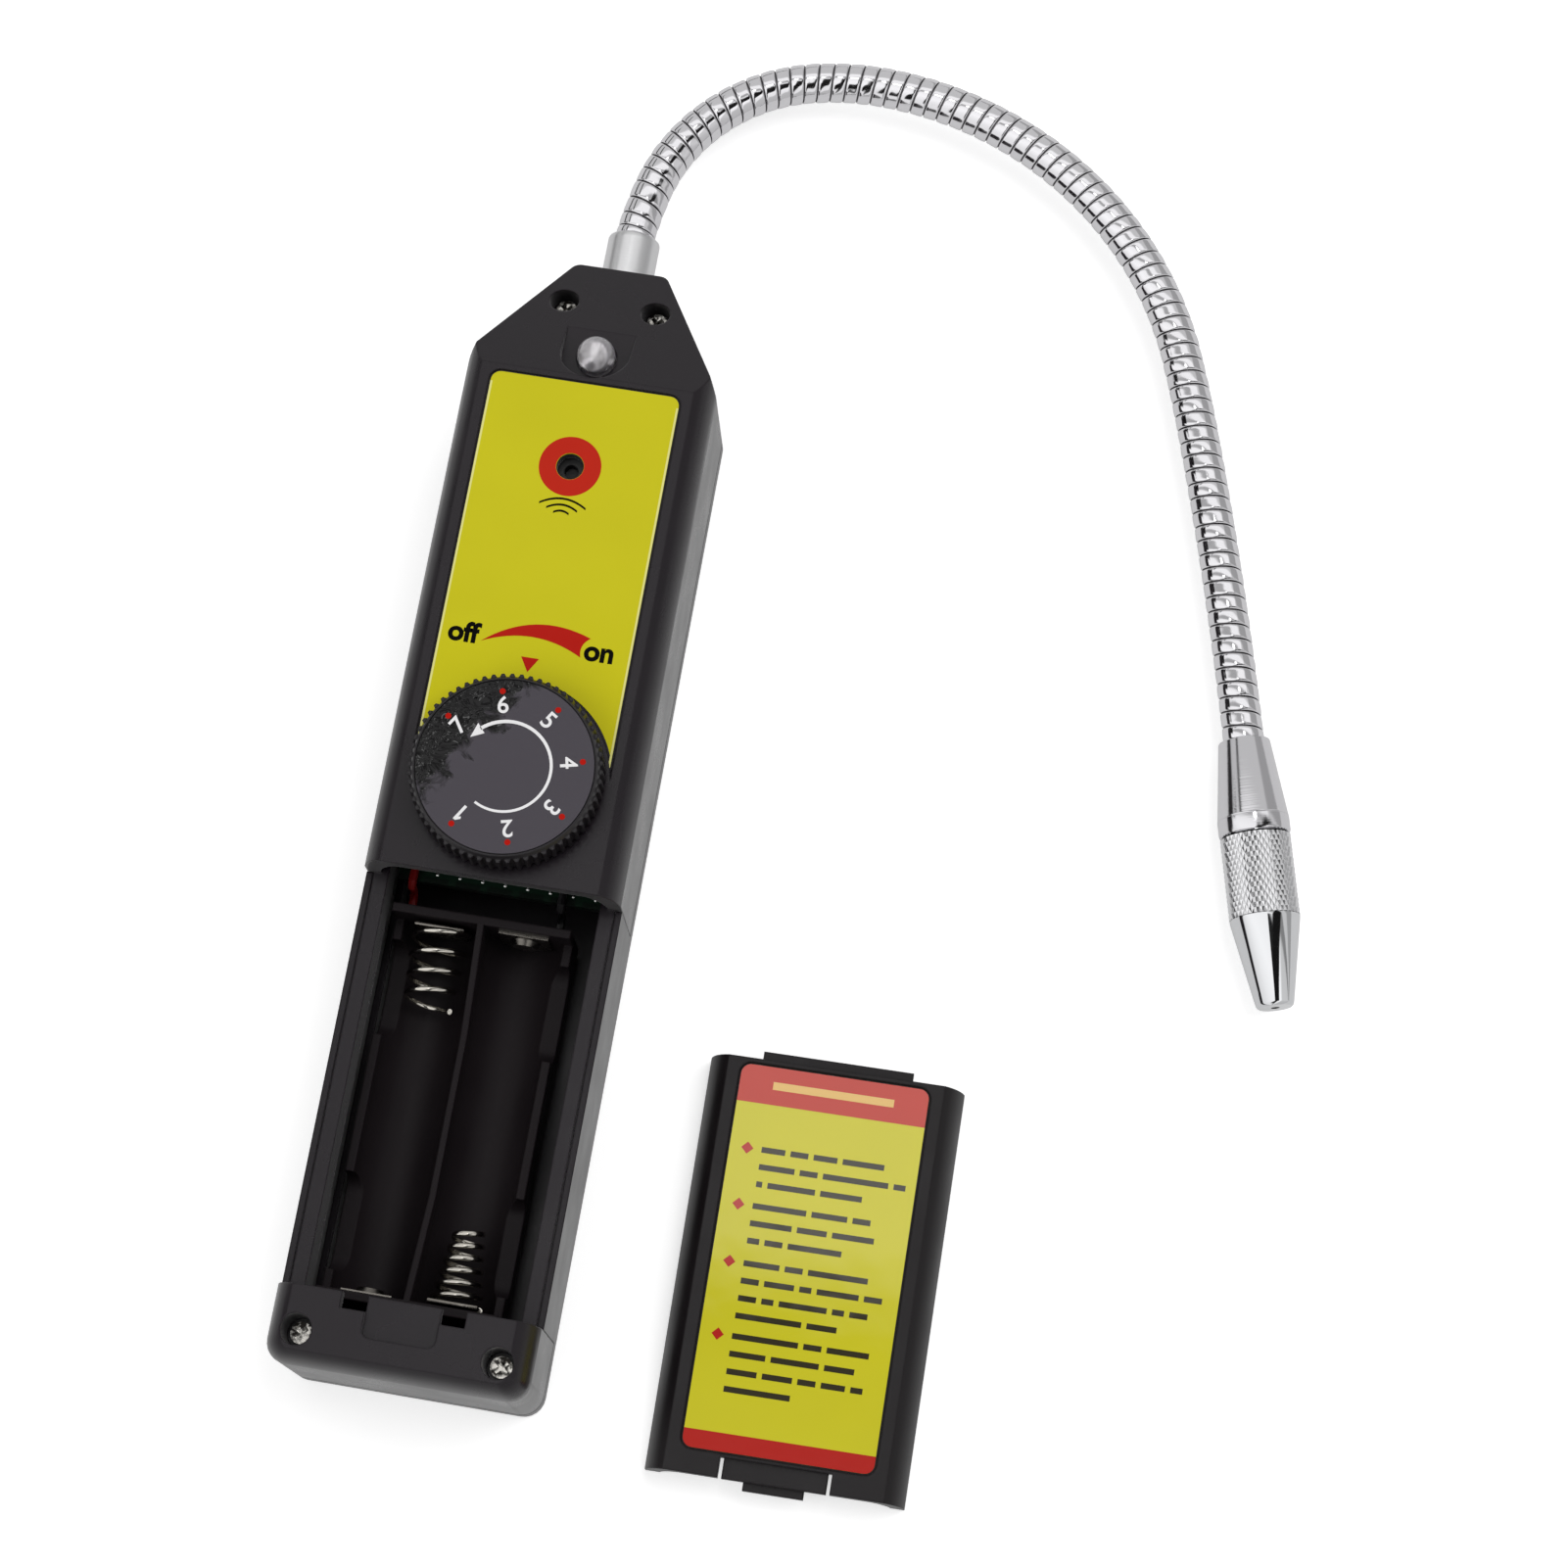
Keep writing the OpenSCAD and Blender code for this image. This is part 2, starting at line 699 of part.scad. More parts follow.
// The spring stands at the upper end of the left bay and at the lower end of the right bay
module spring_contacts() {
    color("silver") {
        for (side = [-1, 1])
            translate([bay_x(side), side < 0 ? holder_high - holder_t : holder_low + holder_t, cell_z])
                mirror([0, side < 0 ? 1 : 0, 0]) {
                    translate([-contact_w / 2, 0, -contact_w / 2])
                        cube([contact_w, contact_t, contact_w]);
                    translate([0, contact_t - spring_wire / 4, 0])
                        coil();
                }
    }
}

module plate_contacts() {
    color("silver") {
        for (side = [-1, 1])
            translate([bay_x(side), side > 0 ? holder_high - holder_t : holder_low + holder_t, cell_z])
                mirror([0, side > 0 ? 1 : 0, 0]) {
                    translate([-contact_w / 2, 0, -contact_w / 2])
                        cube([contact_w, contact_t, contact_w]);
                    rotate([-90, 0, 0])
                        cylinder(d1 = contact_w * 0.7, d2 = contact_w * 0.5, h = 3 * contact_t, $fn = 32);
                }
    }
}

// Battery cover, drawn in the case and then laid beside it, face up
cover_low = bay_low + cover_gap;
cover_l = bay_l - 2 * cover_gap;
cover_z = ledge_z + fit;
cover_face = case_h - cover_z;
cover_label_low = cover_low + cover_l - cover_label_in - cover_label_l;

module beside_case() {
    translate([cover_x, cover_y, 0])
        rotate([0, 0, cover_turn])
            translate([0, -cover_low - cover_l / 2, -cover_z])
                children();
}

module cover_length(l) {
    translate([-big / 2, cover_low, cover_z])
        cube([big, l, case_h]);
}

module battery_cover() {
    root = cover_low + latch_l;
    tab_z = case_h - finger_h - tongue_t;
    color("#363234")
    beside_case()
    difference() {
        union() {
            difference() {
                intersection() {
                    bevelled(part_z, 0, case_h);
                    cover_length(cover_l);
                }
                bevelled(part_z - over, wall, case_h - wall);
                translate([-latch_w / 2 - latch_slit, cover_low - over, part_z])
                    cube([latch_w + 2 * latch_slit, latch_l + over, case_h]);
            }
            translate([-tongue_w / 2, cover_low + cover_l - wall, case_h - wall - fit - tongue_t])
                cube([tongue_w, wall + tongue_l, tongue_t]);
            translate([-tongue_w / 2, cover_low + cover_l - 2 * wall, case_h - wall - fit - tongue_t])
                cube([tongue_w, 2 * wall, tongue_t + fit + eps]);
            translate([-latch_w / 2, cover_low, tab_z])
                cube([latch_w, latch_l + wall, tongue_t]);
            translate([-latch_w / 2, root, tab_z])
                cube([latch_w, wall, case_h - wall + eps - tab_z]);
            translate([-nib_w / 2, cover_low - latch_seat_l / 2, tab_z - tongue_t])
                cube([nib_w, latch_seat_l, case_h - wall - fit - tab_z + tongue_t]);
        }
        translate([0, cover_label_low - label_gap, case_h - label_pocket])
            linear_extrude(label_pocket + over)
                cover_label_plan(label_gap);
    }
}

module cover_label_plan(grow) {
    w = cover_label_w / 2 + grow;
    top = cover_label_l + 2 * grow;
    r = label_r + grow;
    polygon(rounded([[-w, 0], [w, 0], [w, top], [-w, top]], [r, r, r, r]));
}

module cover_label() {
    color("#c9c32d")
    beside_case()
        translate([0, cover_label_low, case_h - label_pocket])
            linear_extrude(label_t) cover_label_plan(0);
}

module front_label() {
    color("#c9c32d")
    difference() {
        translate([0, 0, case_h - label_pocket])
            linear_extrude(label_t) label_plan(0);
        translate([0, buzzer_y, case_h - wall])
            cylinder(d = sound_d, h = 2 * wall, $fn = 48);
    }
}

// Knob, its dial and the potentiometer under it
knob_low = case_h + knob_gap;
knob_high = case_h + knob_top;
dial_pocket = 0.3;
hub_wall = 1.6;
pot_nut_w = 10;
pot_nut_t = 1.4;
bush_high = case_h + pot_nut_t + 0.3;
hub_low = bush_high + 0.3;
shaft_high = knob_high - dial_pocket - 0.9;
shaft_neck_d = shaft_d - 2;
pot_high = case_h - wall - 0.1;

// One rib and one groove of the rim, as four points of its outline
function rib_outline() =
    [for (i = [0:knob_ribs - 1], c = [[0, 0], [0.3, 0], [0.5, 1], [0.8, 1]])
        let (a = 360 * (i + c.x) / knob_ribs, r = knob_d / 2 - c.y * knob_rib_h)
        r * [cos(a), sin(a)]];

module knob() {
    rim = knob_d / 2 - knob_t;
    crown = knob_high - knob_t;
    edge = 0.7;
    color("#2b292b")
    translate([0, knob_y, 0])
    difference() {
        union() {
            difference() {
                translate([0, 0, knob_low])
                    linear_extrude(knob_high - edge - knob_low) polygon(rib_outline());
                translate([0, 0, knob_low - over])
                    cylinder(r = rim, h = crown - knob_low + over, $fn = 96);
            }
            translate([0, 0, knob_high - edge])
                cylinder(r1 = knob_d / 2 - knob_rib_h, r2 = knob_d / 2 - knob_rib_h - edge / 2, h = edge,
                         $fn = 96);
            translate([0, 0, hub_low])
                cylinder(d = shaft_d + 2 * hub_wall, h = crown - hub_low + eps, $fn = 64);
        }
        translate([0, 0, knob_high - dial_pocket])
            cylinder(d = dial_d + 2 * fit, h = over, $fn = 96);
        translate([0, 0, knob_low])
            cylinder(d = shaft_d + 0.05, h = shaft_high - knob_low + 0.05, $fn = 48);
    }
}

module dial_label() {
    color("#1d1b1e")
    translate([0, knob_y, knob_high - dial_pocket])
        cylinder(d = dial_d, h = label_t, $fn = 96);
}

module pot_shaft() {
    color("silver")
    translate([0, knob_y, 0]) {
        translate([0, 0, bush_high + 0.1])
            cylinder(d = shaft_d, h = shaft_high - bush_high - 0.1, $fn = 48);
        translate([0, 0, pot_high - wall])
            cylinder(d = shaft_neck_d, h = bush_high + 0.2 - pot_high + wall, $fn = 48);
    }
}

module potentiometer() {
    color("#8a8d90")
    translate([0, knob_y, 0])
    difference() {
        union() {
            translate([0, 0, board_z])
                cylinder(d = pot_d, h = pot_high - board_z, $fn = 64);
            translate([0, 0, pot_high - eps])
                cylinder(d = bush_d, h = bush_high - pot_high + eps, $fn = 48);
        }
        translate([0, 0, pot_high - wall - 0.1])
            cylinder(d = shaft_neck_d + 0.2, h = case_h, $fn = 48);
    }
}

module pot_nut() {
    color("silver")
    translate([0, knob_y, case_h])
    difference() {
        cylinder(d = pot_nut_w / cos(30), h = pot_nut_t, $fn = 6);
        translate([0, 0, -over])
            cylinder(d = bush_d + 0.05, h = pot_nut_t + 2 * over, $fn = 48);
    }
}

// Status lamp: a domed body on a flange, with two legs down to the board
lamp_leg_d = 0.5;
lamp_leg_pitch = 2.54;

module status_lamp() {
    dome_z = lamp_floor_z + lamp_d * 0.2;
    color("#d8d6dc")
    translate([0, lamp_y, 0]) {
        translate([0, 0, lamp_flange_z])
            cylinder(d = lamp_flange_d, h = lamp_flange_h, $fn = 48);
        translate([0, 0, lamp_flange_z])
            cylinder(d = lamp_d, h = dome_z - lamp_flange_z, $fn = 48);
        translate([0, 0, dome_z])
            sphere(d = lamp_d, $fn = 48);
        both_sides()
            translate([lamp_leg_pitch / 2, 0, board_z])
                cylinder(d = lamp_leg_d, h = lamp_flange_z - board_z + eps, $fn = 16);
    }
}

module buzzer() {
    top = case_h - wall - 0.3;
    color("#1f1f21")
    translate([0, buzzer_y, board_z])
    difference() {
        cylinder(d = buzzer_d, h = top - board_z, $fn = 64);
        translate([0, 0, top - board_z - 1.5])
            cylinder(d = sound_d / 2, h = 2 * over + 1.5, $fn = 32);
    }
}

// Circuit board, drawn in to pass between the screw posts of the nose
board_high = lamp_y + 2.6;

module circuit_board() {
    w = board_w / 2;
    nose = 6;
    color("#1f5a3a")
    translate([0, 0, board_under])
        linear_extrude(board_t)
            polygon([[-w, board_low], [w, board_low], [w, shoulder_y - 4], [nose, board_high],
                     [-nose, board_high], [-w, shoulder_y - 4]]);
}

module case_screws() {
    color("silver")
    for (spot = [[tail_screw, tail_seat_z], [nose_screw, nose_seat_z]])
        both_sides()
            translate([spot[0].x, spot[0].y, spot[1]])
                screw();
}

module screw() {
    slot_w = 0.6;
    slot_h = 0.8;
    difference() {
        union() {
            cylinder(d = screw_head, h = screw_head_h, $fn = 40);
            translate([0, 0, -screw_l])
                cylinder(d = screw_d, h = screw_l + eps, $fn = 24);
        }
        for (turn = [45, 135])
            rotate([0, 0, turn])
                translate([-screw_head * 0.35, -slot_w / 2, screw_head_h - slot_h])
                    cube([screw_head * 0.7, slot_w, slot_h + over]);
    }
}

// Battery leads, from the holder's upper wall round the edge of the board
lead_d = 1.2;
lead_sides = 8;

module battery_lead(x) {
    r = lead_d / 2;
    outside = board_low - r - 0.5;
    path = [[x, holder_high, cell_z - 1], [x, outside - 1.2, cell_z - 0.9],
            [x, outside - 0.3, cell_z - 0.3], [x, outside, board_under],
            [x, outside + 0.1, board_z + r - 0.2], [x, outside + 0.8, board_z + r + 0.4],
            [x, board_low + 1.2, board_z + r + 0.2], [x, board_low + 2.6, board_z + r]];
    tube(path, r, lead_sides, [1, 0, 0]);
}

module red_lead() { color("#b01818") battery_lead(holder_x - holder_w / 2 + 1.6); }

module black_lead() { color("#151515") battery_lead(holder_x + holder_w / 2 - 2.4); }

// Sensor lead inside the nose, from the underside of the board to the collar's bore
sensor_lead_d = 1.6;
shank_l = wall + nut_t + 1;

module sensor_lead() {
    r = sensor_lead_d / 2;
    low = half_l - shank_l;
    path = [[0, shoulder_y - 4, board_under - r], [0, shoulder_y + 2, board_under - r - 0.3],
            [0, shoulder_y + 6, board_under - r - 1.6], [0, low - 6, neck_z + 1.2],
            [0, low - 2.5, neck_z + 0.2], [0, low + 0.5, neck_z], [0, low + 2, neck_z]];
    color("#202022")
    tube(path, r, lead_sides, [1, 0, 0]);
}

// Path of the gooseneck in its own plane
neck_l = bend_1_l + bend_2_l + bend_3_l;
link_l = neck_l / neck_links;
neck_y = half_l + collar_l + socket_grip + link_gap;

function neck_heading(s) =
    s < bend_1_l ? 90 - bend_1 * s / bend_1_l :
    s < bend_1_l + bend_2_l ? 90 - bend_1 - bend_2 * (s - bend_1_l) / bend_2_l :
    90 - bend_1 - bend_2 - bend_3 * (s - bend_1_l - bend_2_l) / bend_3_l;

function link_heading(i) = neck_heading((i - 0.5) * link_l);
function link_way(i) = [cos(link_heading(i)), sin(link_heading(i))];

// Middle of the joint at the far end of link i; joint 0 is at the collar
function joint_at(i) = i == 0 ? [0, neck_y] : joint_at(i - 1) + link_l * link_way(i);

// The neck's plane is rolled about the collar axis until the tip lies just above the ground
tip_reach = ferrule_l + knurl_l / 2;
tip_middle = joint_at(neck_links) + tip_reach * link_way(neck_links);
neck_roll = asin((neck_z - tip_d / 2 - tip_lift) / tip_middle.x);

module on_neck(place, heading) {
    translate([0, 0, neck_z])
        rotate([0, neck_roll, 0])
            translate([place.x, place.y, 0])
                rotate([0, 0, heading])
                    rotate([0, 90, 0])
                        children();
}

neck_r = neck_d / 2;
band_pitch = link_l / link_bands;
edge_r = neck_r - band_edge;
groove_r = neck_r - band_groove_h;

// Half section of a link's bands, from the socket's rim to the front of the last band
function band_points(last_gap) =
    [for (k = [0:link_bands - 1])
        let (start = -socket_grip + k * band_pitch,
             end = start + band_pitch - (k == link_bands - 1 ? last_gap : band_groove))
        each concat([[edge_r, start], [neck_r, start + band_edge],
                     [neck_r, end - band_edge], [edge_r, end]],
                    k == link_bands - 1 ? [] : [[groove_r, end], [groove_r, end + band_groove]])];

module bands(last_gap) {
    front = link_l - socket_grip - last_gap;
    rotate_extrude($fn = 64)
        polygon(concat([[0, front], [0, -socket_grip]], band_points(last_gap)));
}

module ball(z) {
    translate([0, 0, z])
        sphere(d = ball_d, $fn = 48);
    translate([0, 0, z - socket_grip - link_gap - eps])
        cylinder(d = stem_d, h = socket_grip + link_gap + eps, $fn = 32);
}

module socket() {
    sphere(d = ball_d + 2 * ball_fit, $fn = 48);
    mouth_r = sqrt(pow(ball_d / 2 + ball_fit, 2) - pow(socket_grip, 2));
    translate([0, 0, -2 * socket_grip])
        cylinder(r = mouth_r, h = 2 * socket_grip, $fn = 48);
}

plug_d = neck_d - 1.4;
plug_l = 4;

module neck_link(i) {
    last = i == neck_links;
    color("#c9cbd0")
    on_neck(joint_at(i - 1), link_heading(i))
    difference() {
        union() {
            difference() {
                bands(last ? 0 : link_gap);
                socket();
            }
            if (last)
                translate([0, 0, link_l - socket_grip - eps])
                    cylinder(d = plug_d, h = plug_l, $fn = 48);
            else
                ball(link_l);
        }
        translate([0, 0, -link_l])
            cylinder(d = neck_bore, h = 3 * link_l, $fn = 32);
    }
}

// Collar: flanged sleeve held in the nose end by its nut, with the first ball in front
module neck_collar() {
    chamfer = 0.7;
    color("#b9babd")
    on_neck([0, half_l], 90)
    difference() {
        union() {
            rotate_extrude($fn = 64)
                polygon([[0, 0], [collar_d / 2, 0], [collar_d / 2, collar_l - chamfer],
                         [collar_d / 2 - chamfer, collar_l], [0, collar_l]]);
            translate([0, 0, -shank_l])
                cylinder(d = shank_d, h = shank_l + eps, $fn = 48);
            ball(neck_y - half_l);
        }
        translate([0, 0, -shank_l - over])
            cylinder(d = neck_bore, h = 2 * case_w, $fn = 32);
    }
}

module neck_nut() {
    color("#a9abae")
    on_neck([0, half_l - wall], 90)
        translate([0, 0, -nut_t])
            rotate([0, 0, 30])
                difference() {
                    cylinder(d = nut_w / cos(30), h = nut_t, $fn = 6);
                    translate([0, 0, -over])
                        cylinder(d = shank_d + 0.05, h = nut_t + 2 * over, $fn = 48);
                }
}

// Sensor tip, drawn along its own axis from the end of the neck
module on_tip() {
    on_neck(joint_at(neck_links) - socket_grip * link_way(neck_links), link_heading(neck_links))
        children();
}

cap_low = ferrule_l + 0.1;
spigot_high = ferrule_l + spigot_l;
socket_d = spigot_d - 1.6;
socket_l = 4;
sensor_low = spigot_high - 1;

module tip_ferrule() {
    edge = 0.3;
    color("#c4c6ca")
    on_tip()
    difference() {
        rotate_extrude($fn = 72)
            polygon([[0, 0], [ferrule_d / 2 - edge, 0], [ferrule_d / 2, edge],
                     [tip_d / 2, ferrule_l - ferrule_band], [tip_d / 2, ferrule_l - edge],
                     [tip_d / 2 - edge, ferrule_l], [spigot_d / 2, ferrule_l],
                     [spigot_d / 2, spigot_high], [0, spigot_high]]);
        translate([0, 0, -over])
            cylinder(d = plug_d + 0.05, h = over + plug_l + 0.1, $fn = 48);
        cylinder(d = neck_bore + 0.6, h = spigot_high, $fn = 32);
        translate([0, 0, sensor_low - socket_l])
            cylinder(d = socket_d + 0.05, h = spigot_high, $fn = 48);
    }
}

module sensor_socket() {
    color("#e4e0d6")
    on_tip()
        translate([0, 0, sensor_low - socket_l])
            cylinder(d = socket_d, h = socket_l, $fn = 48);
}

module sensor() {
    rim = 0.6;
    color("#b8a878")
    on_tip()
        translate([0, 0, sensor_low]) {
            cylinder(d = sensor_d, h = rim, $fn = 48);
            cylinder(d = sensor_d - rim, h = sensor_l, $fn = 48);
        }
}

// Cap: knurled sleeve and polished cone, hollow, with air holes in its front
cap_high = cap_low + knurl_l + cone_l;
chamber_d = sensor_d + 0.8;
air_ring = 6;

module tip_cap() {
    edge = 0.4;
    front = cap_high - cap_wall;
    color("#d0d2d6")
    on_tip()
    difference() {
        rotate_extrude($fn = 72)
            polygon([[0, cap_low], [tip_d / 2 - edge, cap_low], [tip_d / 2, cap_low + edge],
                     [tip_d / 2, cap_low + knurl_l], [cone_d / 2 + edge / 2, cap_high - edge],
                     [cone_d / 2 - edge / 2, cap_high], [0, cap_high]]);
        translate([0, 0, cap_low - over])
            cylinder(d = spigot_d + 0.2, h = spigot_l + over + 0.2, $fn = 64);
        translate([0, 0, cap_low])
            cylinder(d = chamber_d, h = knurl_l, $fn = 64);
        translate([0, 0, cap_low + knurl_l - eps])
            cylinder(d1 = chamber_d, d2 = cone_d - 2 * cap_wall + 0.6, h = cone_l - cap_wall, $fn = 64);
        translate([0, 0, front - over])
            cylinder(d = air_hole, h = cap_wall + 2 * over, $fn = 32);
        for (k = [1:air_ring])
            rotate([0, 0, 360 * k / air_ring])
                translate([cone_d / 2 - cap_wall, 0, front - over])
                    cylinder(d = air_hole * 0.6, h = cap_wall + 2 * over, $fn = 24);
    }
}

front_case();
rear_case();
battery_cover();
front_label();
cover_label();
knob();
dial_label();
pot_shaft();
potentiometer();
pot_nut();
status_lamp();
buzzer();
circuit_board();
battery_holder();
spring_contacts();
plate_contacts();
case_screws();
red_lead();
black_lead();
sensor_lead();
neck_collar();
neck_nut();
for (i = [1:neck_links])
    neck_link(i);
tip_ferrule();
sensor_socket();
sensor();
tip_cap();
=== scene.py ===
# %% [markdown]
# # A refrigerant leak detector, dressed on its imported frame
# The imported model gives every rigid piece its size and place. This lesson loads it, sets up the
# camera and the light, and then goes over the detector from the case to the sensor tip. Each step
# says what the real piece is, how it could be made in Blender, and why this way was chosen.

# %% Load the frame
import json
import math

import bmesh
import bpy
from mathutils import Matrix, Vector


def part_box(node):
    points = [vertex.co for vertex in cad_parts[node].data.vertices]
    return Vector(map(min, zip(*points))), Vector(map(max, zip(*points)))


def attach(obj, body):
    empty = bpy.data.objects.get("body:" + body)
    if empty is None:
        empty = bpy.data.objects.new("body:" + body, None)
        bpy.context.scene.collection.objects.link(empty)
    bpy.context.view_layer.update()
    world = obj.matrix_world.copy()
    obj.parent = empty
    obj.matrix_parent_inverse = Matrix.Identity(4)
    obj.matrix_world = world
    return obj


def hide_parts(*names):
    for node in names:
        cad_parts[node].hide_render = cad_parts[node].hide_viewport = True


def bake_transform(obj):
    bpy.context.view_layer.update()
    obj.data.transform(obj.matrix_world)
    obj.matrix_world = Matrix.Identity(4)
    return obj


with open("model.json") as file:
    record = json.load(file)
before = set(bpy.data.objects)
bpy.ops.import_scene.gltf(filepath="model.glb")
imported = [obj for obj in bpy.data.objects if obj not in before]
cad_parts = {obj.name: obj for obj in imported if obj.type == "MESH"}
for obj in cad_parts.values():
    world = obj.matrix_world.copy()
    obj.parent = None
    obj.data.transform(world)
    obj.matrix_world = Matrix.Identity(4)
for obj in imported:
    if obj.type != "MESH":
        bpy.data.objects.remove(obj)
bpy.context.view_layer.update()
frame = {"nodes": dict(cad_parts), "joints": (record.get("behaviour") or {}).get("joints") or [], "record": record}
nodes = frame["nodes"]
joints = {joint["name"]: joint for joint in frame["joints"]}
scene = bpy.context.scene
scene.view_settings.view_transform = "Standard"
MM = 0.001

# %% [markdown]
# ## Camera
# The photograph looks down on the detector from a little towards its tail, turned by a few degrees.
# A camera could be aimed by eye, but here its place, its aim and its roll were worked out once from
# the case's corners, so that the render can be laid over the photograph.

# %% Camera
EYE = Vector((74.5, -121.1, 520.3)) * MM
AIM = Vector((35.45, 13.26, 0.0)) * MM
ROLL = math.radians(-6.65)
LENS = 85.73

camera_data = bpy.data.cameras.new("camera")
camera_data.lens = LENS
camera_data.clip_start = 0.01
camera = bpy.data.objects.new("camera", camera_data)
scene.collection.objects.link(camera)
look = (AIM - EYE).to_track_quat("-Z", "Y").to_matrix().to_4x4()
camera.matrix_world = Matrix.Translation(EYE) @ look @ Matrix.Rotation(ROLL, 4, "Z")
scene.camera = camera
print("camera is", round((AIM - EYE).length / MM), "mm away")

# %% [markdown]
# ## Helpers for nodes and colours
# Materials are node trees. Building each one by hand would repeat the same few lines, so one small
# function adds a node, sets it and links it, and short ones name what is wanted most: noise, a mix,
# a sum, a bump. Colours are written as sRGB hex, as a paint chart gives them, and turned to the
# linear values that the shaders use.

# %% Helpers for materials
WHITE = (1, 1, 1, 1)


def linear(hex_colour):
    """Linear RGBA of an sRGB hex colour."""
    parts = [int(hex_colour[i:i + 2], 16) / 255 for i in (1, 3, 5)]
    return [c / 12.92 if c <= 0.04045 else ((c + 0.055) / 1.055) ** 2.4 for c in parts] + [1.0]


def add(tree, kind, inputs=None, **settings):
    """Add a node. Each input is a value, or an output of another node to link."""
    node = tree.nodes.new(kind)
    for name, value in settings.items():
        setattr(node, name, value)
    for socket, value in (inputs or {}).items():
        if isinstance(value, bpy.types.NodeSocket):
            tree.links.new(value, node.inputs[socket])
        else:
            node.inputs[socket].default_value = value
    return node


def new_material(name, **sockets):
    """A material with one Principled shader. Socket names use _ for a space."""
    material = bpy.data.materials.new(name)
    material.use_nodes = True
    shader = material.node_tree.nodes["Principled BSDF"]
    for socket, value in sockets.items():
        shader.inputs[socket.replace("_", " ")].default_value = value
    return material, material.node_tree, shader


def link(tree, shader, **outputs):
    """Link outputs to the shader's sockets, named in the same way."""
    for socket, output in outputs.items():
        tree.links.new(output, shader.inputs[socket.replace("_", " ")])


def per_metre(millimetres):
    """Texture scale that gives a pattern of this size on coordinates in metres."""
    return 1 / (millimetres * MM)


def object_place(tree):
    """Coordinates that stay with the piece."""
    return add(tree, "ShaderNodeTexCoord").outputs["Object"]


def noise(tree, size_mm, detail, **more):
    """Soft noise with a pattern of this size."""
    return add(tree, "ShaderNodeTexNoise", {"Vector": object_place(tree), "Detail": detail,
                                            "Scale": per_metre(size_mm), **more}).outputs["Fac"]


def bump(tree, height, height_mm, **more):
    """A normal that a height pattern, this high in millimetres, has tilted."""
    return add(tree, "ShaderNodeBump", {"Height": height, "Distance": height_mm * MM,
                                        **more}).outputs["Normal"]


def calc(tree, operation, *values, **settings):
    """The result of a maths node."""
    return add(tree, "ShaderNodeMath", dict(enumerate(values)), operation=operation,
               **settings).outputs[0]


def spread(tree, value, low, high, to_low=0.0, to_high=1.0):
    """A value between low and high, carried to the range from to_low to to_high."""
    return add(tree, "ShaderNodeMapRange", {"Value": value, "From Min": low, "From Max": high,
                                            "To Min": to_low, "To Max": to_high}).outputs[0]


def mix(tree, factor, a, b, **settings):
    """Colour a where the factor is 0, colour b where it is 1."""
    return add(tree, "ShaderNodeMix", {0: factor, 6: a, 7: b}, data_type="RGBA",
               **settings).outputs[2]


def shades(tree, factor, colour, dark, light):
    """The colour times dark where the factor is 0, times light where it is 1."""
    ends = [[c * share for c in linear(colour)[:3]] + [1] for share in (dark, light)]
    return mix(tree, factor, *ends)


# %% [markdown]
# ## Studio
# The detector lies on white paper in the soft light of two broad lamps, and the picture is exposed
# until the paper clips to white and only the contact shadow shows. Chrome mirrors what stands round
# it. Plain white would leave it flat, and a picture of a room would be an image texture. So the
# world has two faces: white to the camera, and to reflections a room drawn with ramps. Its bright
# ceiling has a lamp panel and some dark things, which give the neck and the tip their dark dashes.

# %% Ground
GROUND = 1.6
OVEREXPOSED = 0.5
# In reflections the paper is partly an even grey.
MIRRORED_SHARE, MIRRORED_GREY = 0.6, 0.62

ground_mesh = bmesh.new()
bmesh.ops.create_grid(ground_mesh, x_segments=1, y_segments=1, size=GROUND)
ground_data = bpy.data.meshes.new("ground")
ground_mesh.to_mesh(ground_data)
ground_mesh.free()
ground = bpy.data.objects.new("ground", ground_data)
scene.collection.objects.link(ground)

paper, tree, shader = new_material("white_paper_ground", Roughness=0.9,
                                   Base_Color=linear("#F2F2F2"))
rays = add(tree, "ShaderNodeLightPath").outputs
lit = shader.outputs[0]
glow = add(tree, "ShaderNodeEmission", {"Color": WHITE, "Strength": OVEREXPOSED}).outputs[0]
bright = add(tree, "ShaderNodeAddShader", {0: lit, 1: glow}).outputs[0]
seen = add(tree, "ShaderNodeMixShader", {0: rays["Is Camera Ray"], 1: lit, 2: bright}).outputs[0]
even = add(tree, "ShaderNodeEmission", {"Color": WHITE, "Strength": MIRRORED_GREY}).outputs[0]
mirrored = calc(tree, "MULTIPLY", rays["Is Glossy Ray"], MIRRORED_SHARE)
surface = add(tree, "ShaderNodeMixShader", {0: mirrored, 1: seen, 2: even}).outputs[0]
tree.links.new(surface, tree.nodes["Material Output"].inputs["Surface"])
ground_data.materials.append(paper)

# %% Lamps
LAMP_SIZE = 0.9
# Name, place in metres and power in watts. Both aim at the origin.
LAMPS = [("key_lamp", (0.45, 0.35, 0.95), 5.4), ("fill_lamp", (-0.6, -0.5, 0.8), 2.6)]

for name, place, watts in LAMPS:
    data = bpy.data.lights.new(name, "AREA")
    data.shape, data.size, data.energy = "DISK", LAMP_SIZE, watts
    lamp = bpy.data.objects.new(name, data)
    aimed = (-Vector(place)).to_track_quat("-Z", "Y").to_matrix().to_4x4()
    lamp.matrix_world = Matrix.Translation(place) @ aimed
    lamp.visible_glossy = False
    scene.collection.objects.link(lamp)

